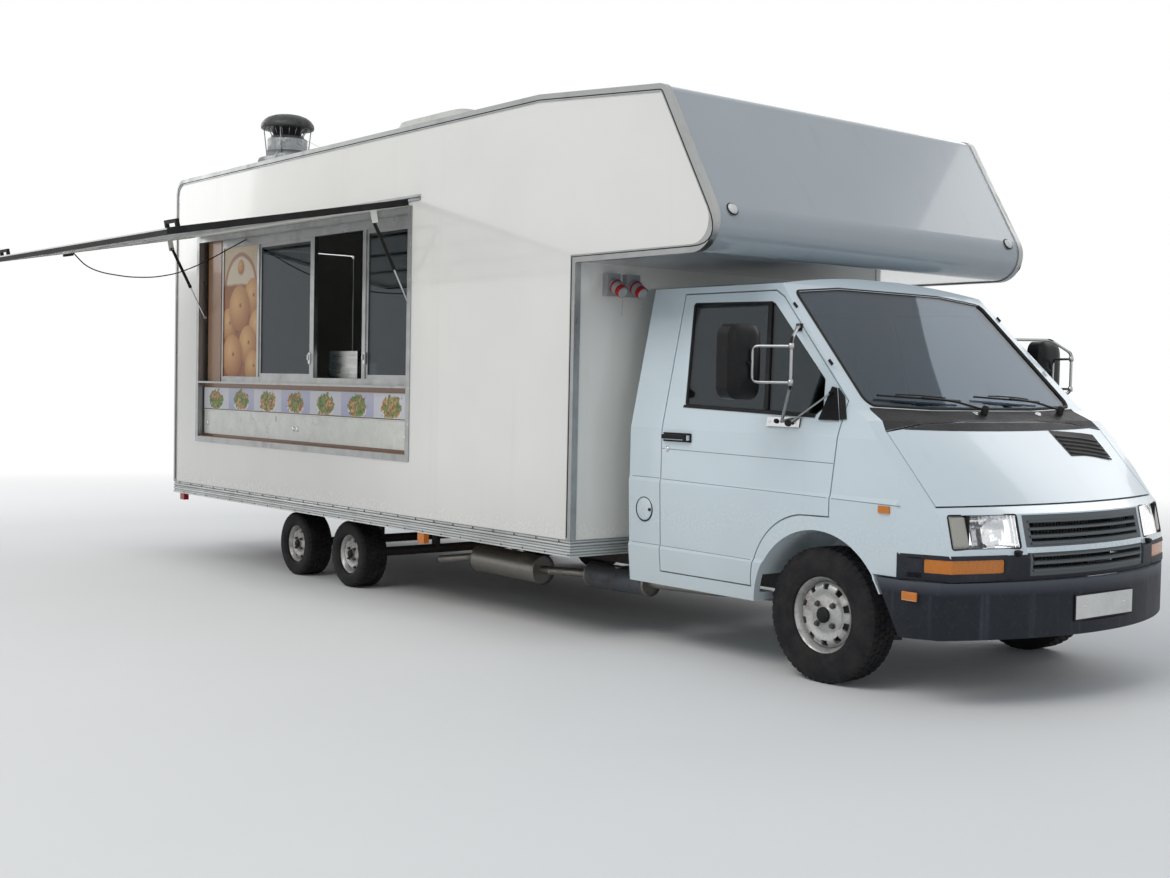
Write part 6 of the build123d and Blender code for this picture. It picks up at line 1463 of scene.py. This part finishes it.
# Tail lamp lenses over the rear lamps
for side, word in SIDES:
    pile = Pile()
    for k, (a, b) in enumerate(((0.965, 1.035), (1.040, 1.100), (1.105, 1.175))):
        pile.box((-6.4805, side * a, 0.467), (-6.4845, side * b, 0.537))
    pile.piece(f"tail_lens_{word}", "lamp_red", bevel=0.003)

# Cab inside: a dark sheet behind the seats as painted shade for the dim cab, wheel rim and padded seats

boxed("cab_rear_shade_sheet", (-1.215, -0.760, 0.620), (-1.205, 0.760, 1.800), "dash_plastic", "liner", bevel=0.004)
wheel_at = Vector((-0.120, 0.430, 1.210))
wheel_axis = Vector((-0.180, 0, 0.210)).normalized()
wheel_side = Vector((0, 1, 0))
wheel_other = wheel_axis.cross(wheel_side)
centre = wheel_at + wheel_axis * 0.010
ring = [centre + (wheel_side * math.cos(a) + wheel_other * math.sin(a)) * 0.190
        for a in (math.tau * k / 64 for k in range(64))]
tube_piece("steering_wheel_rim", [tuple(p) for p in ring], 0.0125, "dash_plastic", cyclic=True, sides=5)
turned("steering_wheel_boss", [(0.0, 0.022), (0.040, 0.020), (0.055, 0.010), (0.058, -0.012)], centre, wheel_axis, 32,
       "dash_plastic")
pile = Pile()
for k in range(5):
    pile.box((-0.055 + 0.001 * k, -0.42 + 0.18 * k, 1.10), (-0.050 + 0.001 * k, -0.30 + 0.18 * k, 1.15))
pile.piece("dash_vents", "dash_plastic", "black_plastic", bevel=0.002)


PAD_INSET, PAD_GROWTH, PAD_MARGIN = 0.016, 0.022, 0.001
PRESSURE, CLOTH_FRAMES = 4.0, 16
CHANNEL_PITCH, CHANNEL_DEPTH, CHANNEL_REACH = 0.055, 0.006, 0.80


def padded(name, size, place, tilt=0.0):
    """A cushion blown up by cloth pressure from a slightly smaller box, with sewn channels."""
    half = [d / 2 - PAD_INSET for d in size]
    shell = bmesh.new()
    bmesh.ops.create_cube(shell, size=2.0)
    for v in shell.verts:
        v.co = Vector((v.co.x * half[0], v.co.y * half[1], v.co.z * half[2]))
    bmesh.ops.bevel(shell, geom=shell.edges[:], offset=0.022, segments=3, affect="EDGES")
    data = bpy.data.meshes.new(name)
    shell.to_mesh(data)
    shell.free()
    turn = Matrix.Rotation(tilt, 3, "Y")
    data.transform(turn.to_4x4())
    data.transform(Matrix.Translation(at(*place)))
    pad = link(bpy.data.objects.new(name, data))
    remesh = pad.modifiers.new("remesh", "REMESH")
    remesh.mode = "VOXEL"
    remesh.voxel_size = 0.012
    pad = mesh_of(pad, name)
    start = [v.co.copy() for v in pad.data.vertices]
    cloth = pad.modifiers.new("cloth", "CLOTH")
    cloth.settings.use_pressure = True
    cloth.settings.uniform_pressure_force = PRESSURE
    cloth.settings.effector_weights.gravity = 0.0
    for number in range(1, CLOTH_FRAMES + 1):
        scene.frame_set(number)
    pad = mesh_of(pad, name)
    scene.frame_set(1)
    inverse = turn.transposed()
    for v, before in zip(pad.data.vertices, start):
        move = v.co - before
        if move.length > PAD_GROWTH:
            v.co = before + move.normalized() * PAD_GROWTH
        local_place = inverse @ (v.co - at(*place))
        for axis in range(3):
            limit = size[axis] / 2 - PAD_MARGIN
            local_place[axis] = max(-limit, min(limit, local_place[axis]))
        # sewn channels across the middle panel
        outward = 0 if tilt else 2
        if abs(local_place.y) / (size[1] / 2) < CHANNEL_REACH and local_place[outward] > 0:
            local_place[outward] -= math.cos(local_place.y / CHANNEL_PITCH * math.pi) ** 16 * CHANNEL_DEPTH
        v.co = turn @ local_place + at(*place)
    smoothed(pad.data)
    finer = pad.modifiers.new("finer", "SUBSURF")
    finer.levels = finer.render_levels = 1
    paint(pad, "seat_cloth")
    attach(pad, "truck")
    return pad


for number, (middle, width) in enumerate(((0.430, 0.500), (-0.310, 0.920)), 1):
    cushion = padded(f"seat_{number}_cushion", (0.550, width, 0.130), (-0.725, middle, 0.866))
    padded(f"seat_{number}_back", (0.105, width, 0.610), (-1.000, middle, 1.210), -0.145)
    if number == 1:
        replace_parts(cushion, "seats")
    boxed(f"seat_{number}_box", (-0.980, middle - width / 2, 0.602), (-0.480, middle + width / 2, 0.800),
          "dash_plastic", bevel=0.010)
    ring = [(-0.725 + a * 0.268, middle + b * (width / 2 - 0.010), 0.870) for a, b in CORNERS]
    tube_piece(f"seat_{number}_piping", ring, 0.004, "seat_cloth", "seal_rubber", cyclic=True, corner=0.05)
